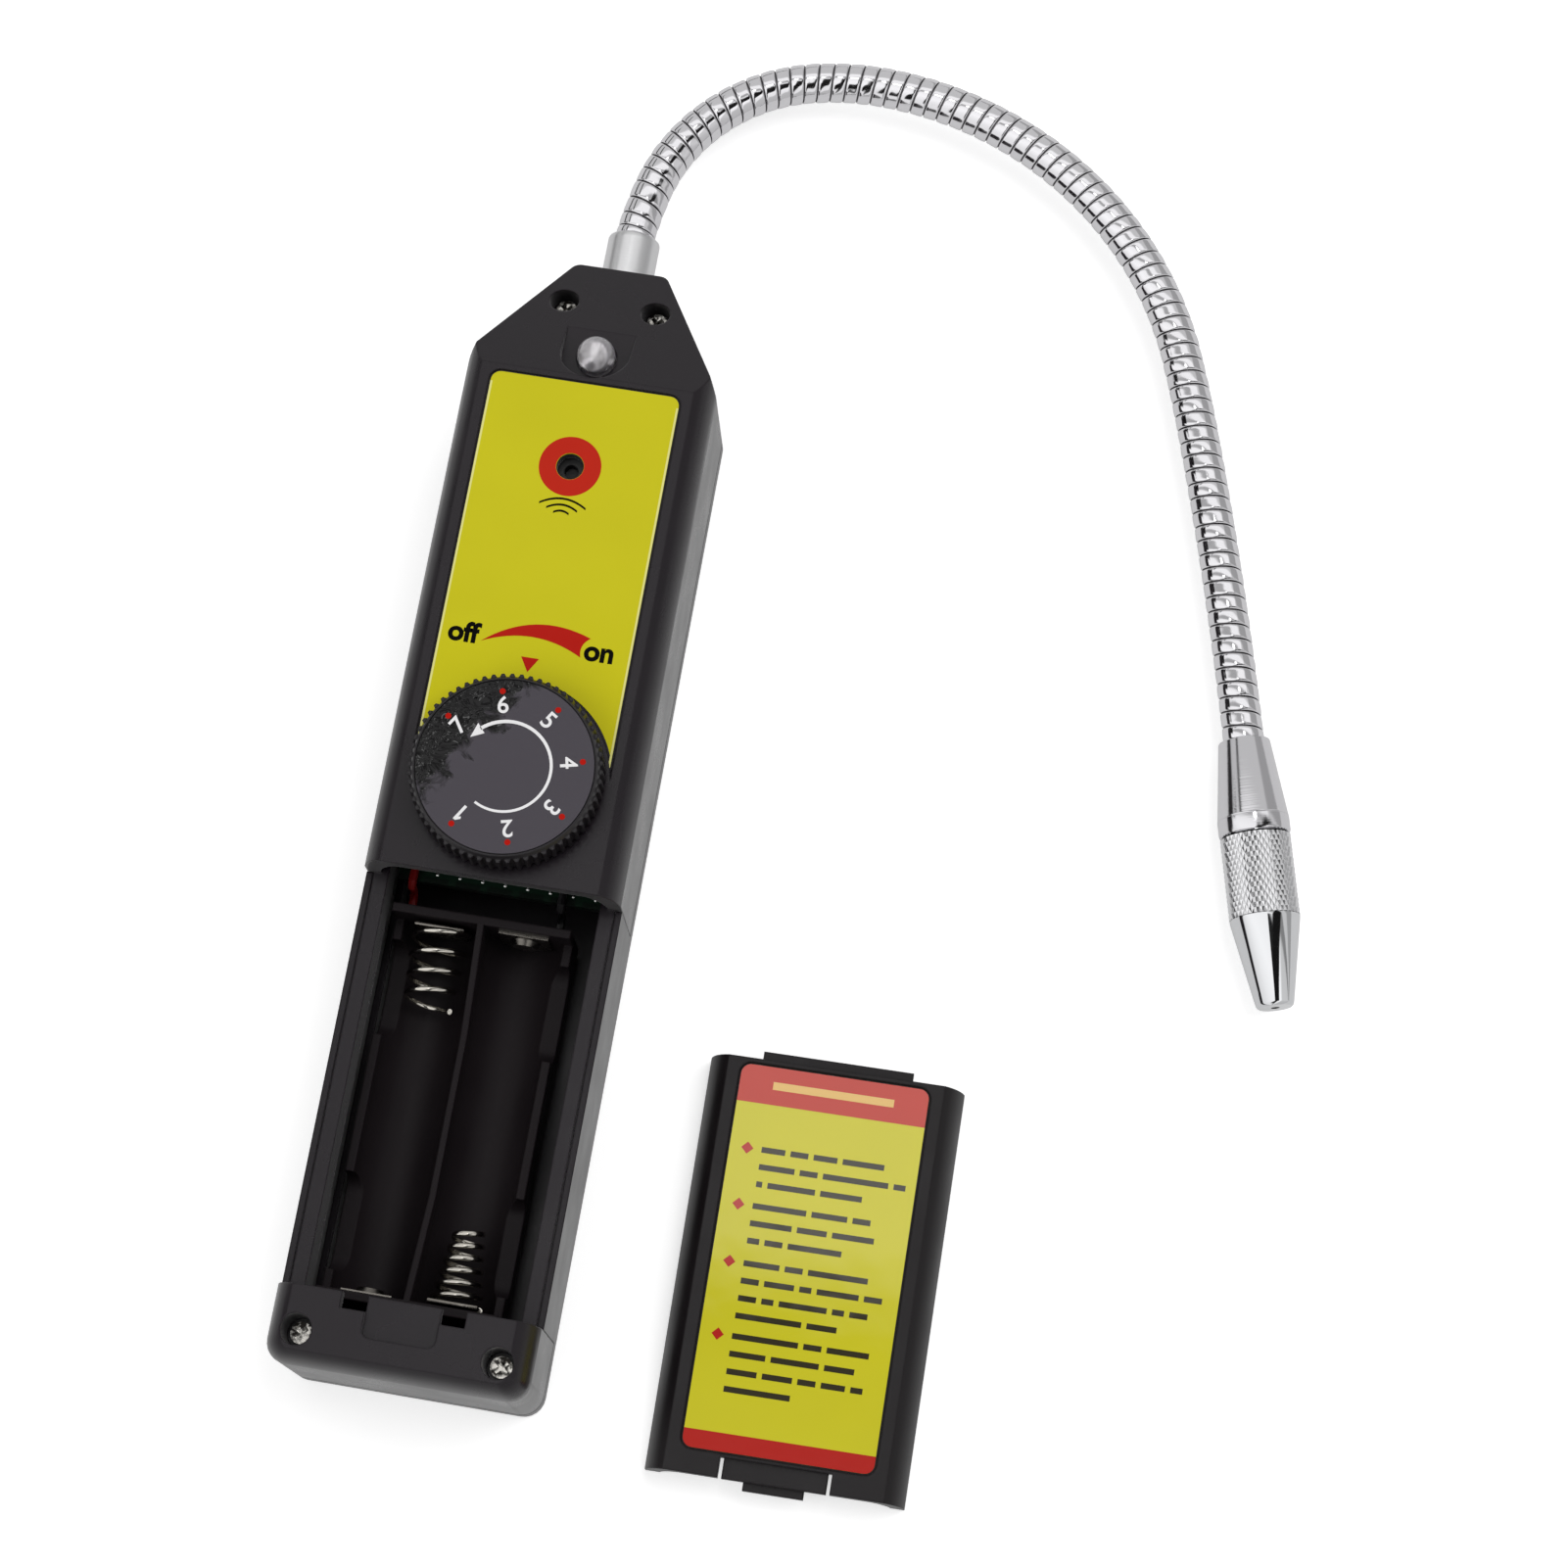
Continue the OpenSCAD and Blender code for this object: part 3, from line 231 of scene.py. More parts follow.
# %% World
# Levels of the ceiling, as (degrees, level): by lean to the right, and by lean towards the top.
ACROSS = [(-90, 0.01), (-83, 0.01), (-79, 0.95), (-46, 1.0), (38, 1.0), (44, 0.62), (90, 0.62)]
ALONG = [(-90, 0.90), (-45, 1.0), (-18, 1.20), (3, 1.10), (7, 0.45), (15, 0.45), (17, 1.10),
         (30, 1.10), (37, 0.65), (90, 0.65)]
# A small lamp panel is brighter still.
PANEL_ACROSS = [(-90, 0.0), (-6.8, 0.0), (-6.2, 1.0), (3, 1.0), (4, 0.0), (90, 0.0)]
PANEL_ALONG = [(-90, 0.0), (6.8, 0.0), (7.3, 1.0), (11.5, 1.0), (13, 0.0), (90, 0.0)]
PANEL_LEVEL = 4.5
# Dark things: a doorway and a post on the left, the camera's stand, and a boom that slants.
DOOR_ACROSS = [(-90, 1.0), (-66, 1.0), (-63, 0.0), (90, 0.0)]
DOOR_ALONG = [(-90, 0.0), (-8, 0.0), (0, 1.0), (40, 1.0), (46, 0.0), (90, 0.0)]
POST_ACROSS = [(-90, 0.0), (-57, 0.0), (-55, 1.0), (-50, 1.0), (-48, 0.0), (90, 0.0)]
POST_ALONG = [(-90, 0.0), (23, 0.0), (25, 1.0), (60, 1.0), (62, 0.0), (90, 0.0)]
STAND_ACROSS = [(-90, 0.0), (4, 0.0), (5, 1.0), (18, 1.0), (19, 0.0), (90, 0.0)]
STAND_ALONG = [(-90, 1.0), (-1, 1.0), (2, 0.0), (90, 0.0)]
BOOM_ACROSS = [(-90, 0.0), (17, 0.0), (19, 1.0), (38, 1.0), (40, 0.0), (90, 0.0)]
BOOM_ALONG = [(-90, 0.0), (-66, 0.0), (-60, 1.0), (16, 1.0), (20, 0.0), (90, 0.0)]
BOOM_SLANT = 0.64
BLACK_LEVEL, STAND_LEVEL = 0.01, 0.02
# What matt surfaces get from every side.
AMBIENT = 0.45

world = bpy.data.worlds.new("white_studio")
scene.world = world
world.use_nodes = True
sky = world.node_tree
rays = add(sky, "ShaderNodeLightPath").outputs
where = add(sky, "ShaderNodeTexCoord").outputs["Generated"]
apart = add(sky, "ShaderNodeSeparateXYZ", {0: where}).outputs
# Leans run from 0 at -90 degrees to 1 at 90 degrees.
leans = [calc(sky, "MULTIPLY_ADD", calc(sky, "ARCTAN2", apart[axis], apart["Z"]), 1 / math.pi, 0.5)
         for axis in "XY"]
slanted = calc(sky, "MULTIPLY_ADD", leans[1], -BOOM_SLANT, BOOM_SLANT / 2)
boom_lean = calc(sky, "ADD", leans[0], slanted)


def grey(level):
    return (level, level, level, 1)


def level_ramp(lean, stops):
    """Grey levels by lean, from stops given as (degrees, level)."""
    node = add(sky, "ShaderNodeValToRGB", {"Fac": lean})
    places = [degrees / 180 + 0.5 for degrees, _ in stops]
    elements = node.color_ramp.elements
    elements[0].position, elements[1].position = places[0], places[-1]
    for place in places[1:-1]:
        elements.new(place)
    for element, (_, level) in zip(elements, stops):
        element.color = grey(level)
    return node.outputs["Color"]


def crossed(across, along, sideways=leans[0]):
    """The product of a ramp by sideways lean and a ramp by lean towards the top."""
    return mix(sky, 1.0, level_ramp(sideways, across), level_ramp(leans[1], along),
               blend_type="MULTIPLY")


room = crossed(ACROSS, ALONG)
for share, level in ((crossed(PANEL_ACROSS, PANEL_ALONG), PANEL_LEVEL),
                     (crossed(DOOR_ACROSS, DOOR_ALONG), BLACK_LEVEL),
                     (crossed(POST_ACROSS, POST_ALONG), BLACK_LEVEL),
                     (crossed(STAND_ACROSS, STAND_ALONG), STAND_LEVEL),
                     (crossed(BOOM_ACROSS, BOOM_ALONG, boom_lean), BLACK_LEVEL)):
    room = mix(sky, share, room, grey(level))
around = mix(sky, rays["Is Glossy Ray"], grey(AMBIENT), room)
direct = calc(sky, "ADD", rays["Is Camera Ray"], rays["Is Transmission Ray"], use_clamp=True)
sky.links.new(mix(sky, direct, around, WHITE), sky.nodes["Background"].inputs["Color"])
print("lamps and world are set")

# %% [markdown]
# ## Finishes
# Each material starts from what the real one is. The case is moulded ABS with a fine spark-eroded
# grain and a little dust, the labels are printed film under a clear layer, the neck and the cap are
# bright chrome, and the bay holds plated springs on dull black polypropylene. Images could carry
# all this, but patterns from noise, sized in millimetres, stay sharp at any distance.

# %% Moulded plastics
EDGE_SOFTNESS = 0.35 * MM
# Noise mostly lies between these values.
NOISE_LOW, NOISE_HIGH = 0.3, 0.7
# Size of the soft clouds in the plastic, and how far they shift its tone and its roughness.
PLASTIC_CLOUD, PLASTIC_TONES, ROUGHNESS_SHIFT = 9.0, (0.88, 1.12), 0.05
# The grain of the mould is about 0.1 mm; it is drawn larger, so that it shows in the render.
GRAIN = 0.35
# Fine dust shows on the case's sides at a grazing look.
DUST = 0.22


def moulded_plastic(name, colour, grain_mm, grain_height_mm, roughness, specular=0.5, dust=0.0):
    """Moulded thermoplastic: one even colour, grain from the mould, softly rounded edges."""
    material, tree, shader = new_material(name, IOR=1.53, Specular_IOR_Level=specular,
                                          Sheen_Weight=dust, Sheen_Roughness=0.3)
    rounded = add(tree, "ShaderNodeBevel", {"Radius": EDGE_SOFTNESS}, samples=6).outputs["Normal"]
    cloud = noise(tree, PLASTIC_CLOUD, 3.0)
    link(tree, shader,
         Base_Color=shades(tree, cloud, colour, *PLASTIC_TONES),
         Roughness=spread(tree, cloud, NOISE_LOW, NOISE_HIGH, roughness - ROUGHNESS_SHIFT,
                          roughness + ROUGHNESS_SHIFT),
         Normal=bump(tree, noise(tree, grain_mm, 2.0), grain_height_mm, Normal=rounded))
    return material


case_abs = moulded_plastic("spark_eroded_grey_abs", "#191419", GRAIN, 0.006, 0.29, 0.3, DUST)
# The rear moulding is the same ABS, painted a shade darker for the shadow along the case's bottom edge.
rear_abs_painted_darker = moulded_plastic("spark_eroded_abs_painted_darker", "#151015", GRAIN, 0.006, 0.34, 0.3, DUST)
cover_abs = moulded_plastic("spark_eroded_cover_abs", "#130F11", GRAIN, 0.008, 0.38, 0.3)
knob_abs = moulded_plastic("satin_black_abs", "#1B181B", 0.5, 0.006, 0.36, 0.4)
holder_pp = moulded_plastic("black_polypropylene", "#1C181A", 1.5, 0.02, 0.42, 0.1)
buzzer_abs = moulded_plastic("black_buzzer_housing", "#0E0E0F", 0.5, 0.01, 0.5)

# %% Printed film and inks
FILM_WAVE, INK_WAVE, WAVE_HEIGHT = 7.0, 5.0, 0.02
FILM_CLOUD, FILM_TONES = 14.0, (0.95, 1.05)
# The clear layer on the front label is thin, and the cover's label has a glossier one.
SATIN, GLOSSY = 0.16, 0.5


def printed_film(name, colour, wave_mm, coat=SATIN):
    """Printed film: flat colour under a clear glossy layer that is never quite flat."""
    material, tree, shader = new_material(name, Roughness=0.42, IOR=1.5, Specular_IOR_Level=0.05,
                                          Coat_Weight=coat, Coat_Roughness=0.03)
    wavy = bump(tree, noise(tree, wave_mm, 1.5), WAVE_HEIGHT)
    link(tree, shader, Normal=wavy, Coat_Normal=wavy,
         Base_Color=shades(tree, noise(tree, FILM_CLOUD, 2.0), colour, *FILM_TONES))
    return material


yellow_film = printed_film("yellow_printed_film", "#CBC41A", FILM_WAVE)
# A pale yellow that paints the highlight on the label film's cut edge.
film_edge_highlight = printed_film("painted_highlight_on_film_edge", "#E4E08A", FILM_WAVE)
red_ink = printed_film("red_screen_ink", "#B4160A", INK_WAVE)
orange_ink = printed_film("orange_red_screen_ink", "#BC220E", INK_WAVE)
black_ink = printed_film("black_screen_ink", "#050404", INK_WAVE, 0.0)
white_ink = printed_film("white_screen_ink", "#F0EFF0", INK_WAVE)
cover_film = printed_film("yellow_laminated_film", "#CBC41A", FILM_WAVE, GLOSSY)
cover_red = printed_film("red_laminated_ink", "#B2170A", INK_WAVE, GLOSSY)
cover_orange = printed_film("orange_red_laminated_ink", "#BC2D18", INK_WAVE, GLOSSY)
brown_ink = printed_film("dark_brown_laminated_ink", "#2A240C", INK_WAVE, GLOSSY)
buff_ink = printed_film("buff_laminated_ink", "#E3B96A", INK_WAVE, GLOSSY)

# %% Film on the dial
# It has lifted on one side: smooth grey where it sticks, dark and rippled where it doesn't. The grey
# is partly the film's own dark colour and partly a painted reflection of the bright ceiling.
LIFT_WAY = Vector((-0.81, 0.59, 0))
# Millimetres along that way: where the film starts to lift, where it is off, and how far ripples
# shift the edge.
LIFT_START, LIFT_END, LIFT_RAGGED = 9.2, 10.6, 9.0
RIPPLE, RIPPLE_HEIGHT = 2.6, 0.5
STUCK_ROUGHNESS, LIFTED_ROUGHNESS = 0.34, 0.07

knob_axis = Vector(joints["knob_turn"]["pos_m"])
dial_film, tree, shader = new_material("lifted_dial_film", IOR=1.5, Specular_IOR_Level=0.3)
ripple = noise(tree, RIPPLE, 3.0, Distortion=0.8)
from_axis = add(tree, "ShaderNodeVectorMath", {0: object_place(tree), 1: knob_axis},
                operation="SUBTRACT").outputs[0]
reach = add(tree, "ShaderNodeVectorMath", {0: from_axis, 1: LIFT_WAY / MM},
            operation="DOT_PRODUCT").outputs["Value"]
ragged = calc(tree, "MULTIPLY_ADD", ripple, LIFT_RAGGED, reach)
lifted = spread(tree, ragged, LIFT_START, LIFT_END)
# The grey where the film sticks is partly a painted reflection of the bright ceiling.
link(tree, shader,
     Base_Color=mix(tree, lifted, linear("#433F46"), linear("#040304")),
     Roughness=spread(tree, lifted, 0.0, 1.0, STUCK_ROUGHNESS, LIFTED_ROUGHNESS),
     Normal=bump(tree, ripple, RIPPLE_HEIGHT, Strength=lifted))


# %% Metals
def polished_metal(name, colour, roughness, scratch_mm, scratch_height_mm):
    """Plated metal: mirror bright, with faint wipe marks that break up the highlights."""
    material, tree, shader = new_material(name, Metallic=1.0, Base_Color=linear(colour))
    marks = noise(tree, scratch_mm, 3.0)
    link(tree, shader, Normal=bump(tree, marks, scratch_height_mm),
         Roughness=spread(tree, marks, NOISE_LOW, NOISE_HIGH, roughness * 0.7, roughness * 1.3))
    return material


neck_chrome = polished_metal("bright_chrome_on_steel", "#E4E3E6", 0.09, 1.2, 0.004)
# The grooves between the bands get a dark metal that paints the shade between them.
groove_shade_metal = polished_metal("painted_shade_in_the_grooves", "#5C5A5C", 0.35, 1.2, 0.004)
cap_chrome = polished_metal("bright_chrome_on_brass", "#E0E1E3", 0.05, 3.0, 0.002)
knurl_chrome = polished_metal("knurled_chrome", "#E6E6E8", 0.22, 3.0, 0.002)
plate_nickel = polished_metal("nickel_plated_strip", "#7E7A74", 0.3, 0.8, 0.01)
spring_nickel = polished_metal("nickel_plated_spring_wire", "#CFCBC2", 0.14, 0.6, 0.003)
pot_metal = polished_metal("drawn_steel_can", "#A5A6A8", 0.3, 0.8, 0.003)
sensor_brass = polished_metal("satin_brass_can", "#B5A06A", 0.3, 0.6, 0.003)
solder_tin = polished_metal("bright_solder", "#D8D8D6", 0.22, 0.5, 0.006)

# Bright zinc plating, with dark patches that paint the shade deep in the screw holes.
SHADE_PATCH, SHADE_EDGE = 0.8, (0.42, 0.62)
screw_zinc, tree, shader = new_material("zinc_screw_with_painted_shade", Metallic=1.0, Roughness=0.2)
unshaded = spread(tree, noise(tree, SHADE_PATCH, 2.0), *SHADE_EDGE)
# Dark where the painted shade falls, the zinc's own colour elsewhere.
link(tree, shader, Base_Color=mix(tree, unshaded, linear("#22201E"), linear("#C9C6C0")))

TURN_MARK, TURN_MARK_HEIGHT = 0.28, 0.014


def turned_metal(name, colour, roughness):
    """Lathe-turned metal: fine rings across the axis, read from the piece's axial coordinate."""
    material, tree, shader = new_material(name, Metallic=1.0, Roughness=roughness,
                                          Base_Color=linear(colour))
    along = add(tree, "ShaderNodeAttribute", attribute_name="along").outputs["Fac"]
    rings = add(tree, "ShaderNodeTexNoise", {"W": along, "Scale": per_metre(TURN_MARK),
                                             "Detail": 3.0}, noise_dimensions="1D").outputs["Fac"]
    link(tree, shader, Normal=bump(tree, rings, TURN_MARK_HEIGHT))
    return material


ferrule_metal = turned_metal("lathe_turned_chrome", "#DEDDE0", 0.12)
collar_metal = turned_metal("satin_nickel_collar", "#E2E2E3", 0.3)

# %% Lamp, board and leads
lamp_epoxy, _, _ = new_material("diffused_lamp_epoxy", Base_Color=linear("#DCD9DE"), Roughness=0.24,
                                IOR=1.5, Transmission_Weight=0.7, Subsurface_Weight=0.2,
                                Subsurface_Radius=(0.6 * MM, 0.6 * MM, 0.7 * MM),
                                Subsurface_Scale=1.0, Coat_Weight=1.0, Coat_Roughness=0.03)

TRACK_GRID = 9.0
board_mask, tree, shader = new_material("green_solder_mask", Roughness=0.3, IOR=1.5)
tracks = add(tree, "ShaderNodeTexBrick", {"Vector": object_place(tree),
                                          "Scale": per_metre(TRACK_GRID), "Mortar Size": 0.06,
                                          "Color1": linear("#040E08"), "Color2": linear("#06120B"),
                                          "Mortar": linear("#0A1E13")})
link(tree, shader, Base_Color=tracks.outputs["Color"])

INSULATION_CLOUD, INSULATION_TONES = 1.5, (0.8, 1.0)


def insulation(name, colour):
    """Extruded PVC or glazed ceramic: smooth, slightly waxy."""
    material, tree, shader = new_material(name, Roughness=0.38, IOR=1.52)
    cloud = noise(tree, INSULATION_CLOUD, 2.0)
    link(tree, shader, Base_Color=shades(tree, cloud, colour, *INSULATION_TONES))
    return material


red_pvc = insulation("red_pvc_insulation", "#7A0F0E")
black_pvc = insulation("black_pvc_insulation", "#141315")
socket_ceramic = insulation("white_ceramic_socket", "#E4E0D6")
print("materials", len(bpy.data.materials))

# %% [markdown]
# ## Helpers for pieces
# A CAD node comes as loose triangles, which shade flat. Its shape is right, so a copy is merged,
# shaded smooth up to a corner angle, and stands in for it. Round pieces are half sections that the
# spin operator turns about an axis, as on a lathe.

# %% Helpers for pieces
MERGE = 0.0005 * MM
# A face is a main face if its area is more than this width times its perimeter.
MAIN_FACE = 0.9 * MM
# Degrees between faces: a corner, the edge of a main face, and faces that lie in one plane.
CORNER, MAIN_FACE_CORNER, ONE_PLANE = 30, 3, 0.2


def keep_piece(mesh, name, body, material, corner=CORNER):
    """Turn a bmesh into a finished piece on a body, smooth but for corners and main faces."""
    for face in mesh.faces:
        face.smooth = True
    large = {face for face in mesh.faces if face.calc_area() > MAIN_FACE * face.calc_perimeter()}
    for edge in mesh.edges:
        limit = MAIN_FACE_CORNER if large.intersection(edge.link_faces) else corner
        edge.smooth = math.degrees(edge.calc_face_angle(0)) < limit
    data = bpy.data.meshes.new(name)
    mesh.to_mesh(data)
    mesh.free()
    data.materials.append(material)
    piece = bpy.data.objects.new(name, data)
    scene.collection.objects.link(piece)
    if body:
        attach(piece, body)
    return piece


def body_with(node):
    """The body that a node belongs to."""
    for body, members in frame["record"]["behaviour"]["bodies"].items():
        if node in members:
            return body


def dressed(node, material):
    """A merged, smoothly shaded copy of a CAD node that stands in for it."""
    mesh = bmesh.new()
    mesh.from_mesh(nodes[node].data)
    bmesh.ops.remove_doubles(mesh, verts=mesh.verts, dist=MERGE)
    bmesh.ops.dissolve_limit(mesh, angle_limit=math.radians(ONE_PLANE),
                             use_dissolve_boundaries=False, verts=mesh.verts, edges=mesh.edges)
    piece = keep_piece(mesh, node + "_skin", body_with(node), material)
    even = piece.modifiers.new("flat_faces_stay_flat", "WEIGHTED_NORMAL")
    even.weight, even.keep_sharp = 100, True
    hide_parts(node)


def paint(node, material):
    """Give a CAD node that keeps its own mesh a finish."""
    nodes[node].data.materials.clear()
    nodes[node].data.materials.append(material)


def turned(section, steps=64, mark_along=False):
    """Spin a half section, given as (radius, height) in millimetres, about Z."""
    mesh = bmesh.new()
    points = [mesh.verts.new((r * MM, 0, z * MM)) for r, z in section]
    edges = [mesh.edges.new(pair) for pair in zip(points, points[1:])]
    bmesh.ops.spin(mesh, geom=points + edges, cent=(0, 0, 0), axis=(0, 0, 1), angle=2 * math.pi,
                   steps=steps, use_merge=True, use_duplicate=False)
    bmesh.ops.remove_doubles(mesh, verts=mesh.verts, dist=MERGE)
    bmesh.ops.recalc_face_normals(mesh, faces=mesh.faces)
    if mark_along:
        layer = mesh.verts.layers.float.new("along")
        for vertex in mesh.verts:
            vertex[layer] = vertex.co.z
    return mesh


def block(place, size, edge):
    """A block with softened edges. Its sides and its edge are in millimetres."""
    mesh = bmesh.new()
    sides = Matrix.Diagonal([side * MM for side in size] + [1])
    bmesh.ops.create_cube(mesh, size=1.0, matrix=Matrix.Translation(place) @ sides)
    bmesh.ops.bevel(mesh, geom=list(mesh.edges), offset=edge * MM, offset_type="OFFSET",
                    affect="EDGES", segments=2, profile=0.5, material=-1)
    return mesh


# %% [markdown]
# ## Case, holder and inner pieces
# The mouldings, the holder and the screws are right as the frame gives them. They could be built
# again, but need only smooth shading and their finishes. What is sealed inside, and the flat
# labels, keep their own mesh and get a finish.

# %% Case and inner pieces
for node, material in (("front_case", case_abs), ("rear_case", rear_abs_painted_darker),
                       ("battery_cover", cover_abs), ("knob", knob_abs),
                       ("battery_holder", holder_pp), ("case_screws", screw_zinc),
                       ("plate_contacts", plate_nickel), ("red_lead", red_pvc),
                       ("black_lead", black_pvc), ("buzzer", buzzer_abs)):
    dressed(node, material)
for node, material in (("front_label", yellow_film), ("cover_label", cover_film),
                       ("dial_label", dial_film), ("circuit_board", board_mask),
                       ("potentiometer", pot_metal), ("pot_shaft", pot_metal),
                       ("pot_nut", screw_zinc), ("sensor_lead", black_pvc),
                       ("neck_nut", screw_zinc), ("sensor_socket", socket_ceramic),
                       ("sensor", sensor_brass)):
    paint(node, material)
print("case and inner pieces are dressed")

# %% [markdown]
# ## Gooseneck
# The real neck is wound from two wires, so its bands run in a slow helix. In the frame it is a
# chain of links. Rigid bands would gape at the joints, so a piece for each joint reaches from the
# middle of one link to the middle of the next. Each piece is a band section spun with a rise, which
# makes the helix, and then laid along the bend.

# %% Centre line of the neck
LINKS = sum(name.startswith("neck_bend") for name in joints)
BANDS = 5
# Length from the collar's front to the first hinge.
FIRST_HINGE = 2.2 * MM

neck_axis = Vector(joints["neck_bend_1"]["axis"]).normalized()
hinges = [Vector(joints[f"neck_bend_{i}"]["pos_m"]) for i in range(1, LINKS + 1)]
tip_axis = Vector(joints["cap_unscrew"]["axis"]).normalized()
tip_place = Vector(joints["cap_unscrew"]["pos_m"])
link_length = (hinges[1] - hinges[0]).length
pitch = link_length / BANDS
collar_front = Vector((0, hinges[0].y - FIRST_HINGE, hinges[0].z))
middles = [(a + b) / 2 for a, b in zip(hinges, hinges[1:])]
middles.append(hinges[-1] + tip_axis * link_length / 2)
stretches = list(zip([collar_front] + middles[:-1], hinges, middles))
spans = [(hinge - a).length + (b - hinge).length for a, hinge, b in stretches]
starts = [sum(spans[:i]) for i in range(len(spans) + 1)]


def on_neck(s):
    """Point and direction of the neck's centre line at length s from the collar."""
    if s <= 0:
        return collar_front + Vector((0, s, 0)), Vector((0, 1, 0))
    if s >= starts[-1]:
        return middles[-1] + (s - starts[-1]) * tip_axis, tip_axis
    i = max(k for k in range(len(spans)) if starts[k] <= s)
    a, hinge, b = stretches[i]
    t = (s - starts[i]) / spans[i]
    point = (1 - t) ** 2 * a + 2 * t * (1 - t) * hinge + t * t * b
    return point, ((1 - t) * (hinge - a) + t * (b - hinge)).normalized()


print("neck", round(starts[-1] / MM, 1), "mm, pitch", round(pitch / MM, 2), "mm")

# %% Bands of the neck
NECK_R, GROOVE_R = 2.95, 2.8
# One band, as (share of the pitch, radius): groove, shoulder, slightly domed crown, shoulder.
SHOULDER = [(0.0, 2.6), (0.035, 2.6), (0.045, 2.78), (0.07, 2.87), (0.12, 2.92), (0.2, 2.936),
            (0.3, 2.944), (0.4, 2.949)]
BAND = SHOULDER + [(0.5, NECK_R)] + [(1 - share, r) for share, r in reversed(SHOULDER[1:])]
BAND_STEPS, BAND_CORNER = 40, 50
# Wound bands never lie quite level: the radius wanders by this share.
UNEVEN, UNEVEN_STEP = 0.008, 4.1
# Bands of the first piece, and of the last one, which runs on into the ferrule.
FIRST_BANDS, END_BANDS = 4, 3


def neck_piece(name, first, bands, body):
    """Helical bands from length first on, laid along the neck's centre line."""
    mesh = bmesh.new()
    points = [mesh.verts.new((r * MM, 0, first + (k + share) * pitch))
              for k in range(bands) for share, r in BAND]
    points.append(mesh.verts.new((BAND[0][1] * MM, 0, first + bands * pitch)))
    edges = [mesh.edges.new(pair) for pair in zip(points, points[1:])]
    bmesh.ops.spin(mesh, geom=points + edges, cent=(0, 0, 0), axis=(0, 0, 1),
                   dvec=(0, 0, pitch / BAND_STEPS), angle=2 * math.pi, steps=BAND_STEPS,
                   use_merge=False, use_duplicate=False)
    bmesh.ops.remove_doubles(mesh, verts=mesh.verts, dist=MERGE * 10)
    grooves = {face for face in mesh.faces
               if face.calc_center_median().xy.length < GROOVE_R * MM}
    for vertex in mesh.verts:
        vertex.co.xy *= 1 - UNEVEN + UNEVEN * math.sin(UNEVEN_STEP * vertex.co.z / pitch)
        point, way = on_neck(vertex.co.z)
        vertex.co = point + vertex.co.x * way.cross(neck_axis) + vertex.co.y * neck_axis
    bmesh.ops.recalc_face_normals(mesh, faces=mesh.faces)
    # Faces in the grooves take the second material, which paints the shade between the bands.
    for face in mesh.faces:
        face.material_index = face in grooves
    piece = keep_piece(mesh, name, body, neck_chrome, BAND_CORNER)
    piece.data.materials.append(groove_shade_metal)
    return piece


for i, (a, _, b) in enumerate(stretches, 1):
    bands = FIRST_BANDS if i == 1 else BANDS
    piece = neck_piece(f"neck_bands_{i}", starts[i] - bands * pitch, bands, None)
    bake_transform(piece)
    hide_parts(f"neck_link_{i}")
neck_piece("neck_bands_end", starts[-1], END_BANDS, f"link_{LINKS}")
print("neck pieces", LINKS + 1)

# %% [markdown]
# ## Collar
# The collar at the case is a plain turned sleeve. A cylinder with a bevel would do, but spinning
# its half section gives the rounded front edge and, along its axis, the fine rings of the lathe.

# %% Collar
COLLAR_R, COLLAR_L = 3.85, 8.0
COLLAR = [(2.3, 0.0), (COLLAR_R, 0.0), (COLLAR_R, 0.3), (COLLAR_R, 1.0), (COLLAR_R, COLLAR_L - 1.0),
          (COLLAR_R, COLLAR_L - 0.55), (COLLAR_R - 0.1, COLLAR_L - 0.25),
          (COLLAR_R - 0.4, COLLAR_L), (2.7, COLLAR_L)]
LATHE_STEPS = 72

case_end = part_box("front_case")[1][1]
along_y = Matrix.Rotation(-math.pi / 2, 4, "X")
mesh = turned(COLLAR, LATHE_STEPS, mark_along=True)
bmesh.ops.transform(mesh, matrix=Matrix.Translation((0, case_end, hinges[0].z)) @ along_y,
                    verts=mesh.verts)
collar = keep_piece(mesh, "turned_collar", "case", collar_metal)
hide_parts("neck_collar")

# %% [markdown]
# ## Sensor tip
# The tip is turned on a lathe: a tapered ferrule with fine tool marks and a polished band, and a
# cap with a diamond knurl and a mirror-bright cone. The knurl could be a bump, but at this size it
# shows in the outline. So a fine grid is spun, its diagonals are joined, and every other point is
# raised.

# %% Ferrule and cone
TIP_R = 5.1
FERRULE = [(2.6, -14.1), (3.4, -14.1), (3.6, -14.0), (3.7, -13.8), (5.02, -2.9), (5.06, -2.75),
           (5.02, -2.68), (5.02, -2.6), (TIP_R, -2.5), (TIP_R, -0.55), (5.0, -0.25), (4.8, -0.12),
           (3.85, -0.1)]
KNURL_L, ROOT_R = 11.8, 4.88
CAP_L, END_R, HOLE_R = 24.7, 2.6, 0.6
CONE = [(3.9, 0.02), (4.7, 0.02), (ROOT_R, 0.2), (ROOT_R, KNURL_L), (4.98, KNURL_L + 0.1),
        (4.95, KNURL_L + 0.5), (END_R + 0.12, CAP_L - 0.5), (END_R, CAP_L - 0.22),
        (END_R - 0.25, CAP_L), (HOLE_R, CAP_L), (HOLE_R, CAP_L - 1.2)]
CONE_CORNER = 40

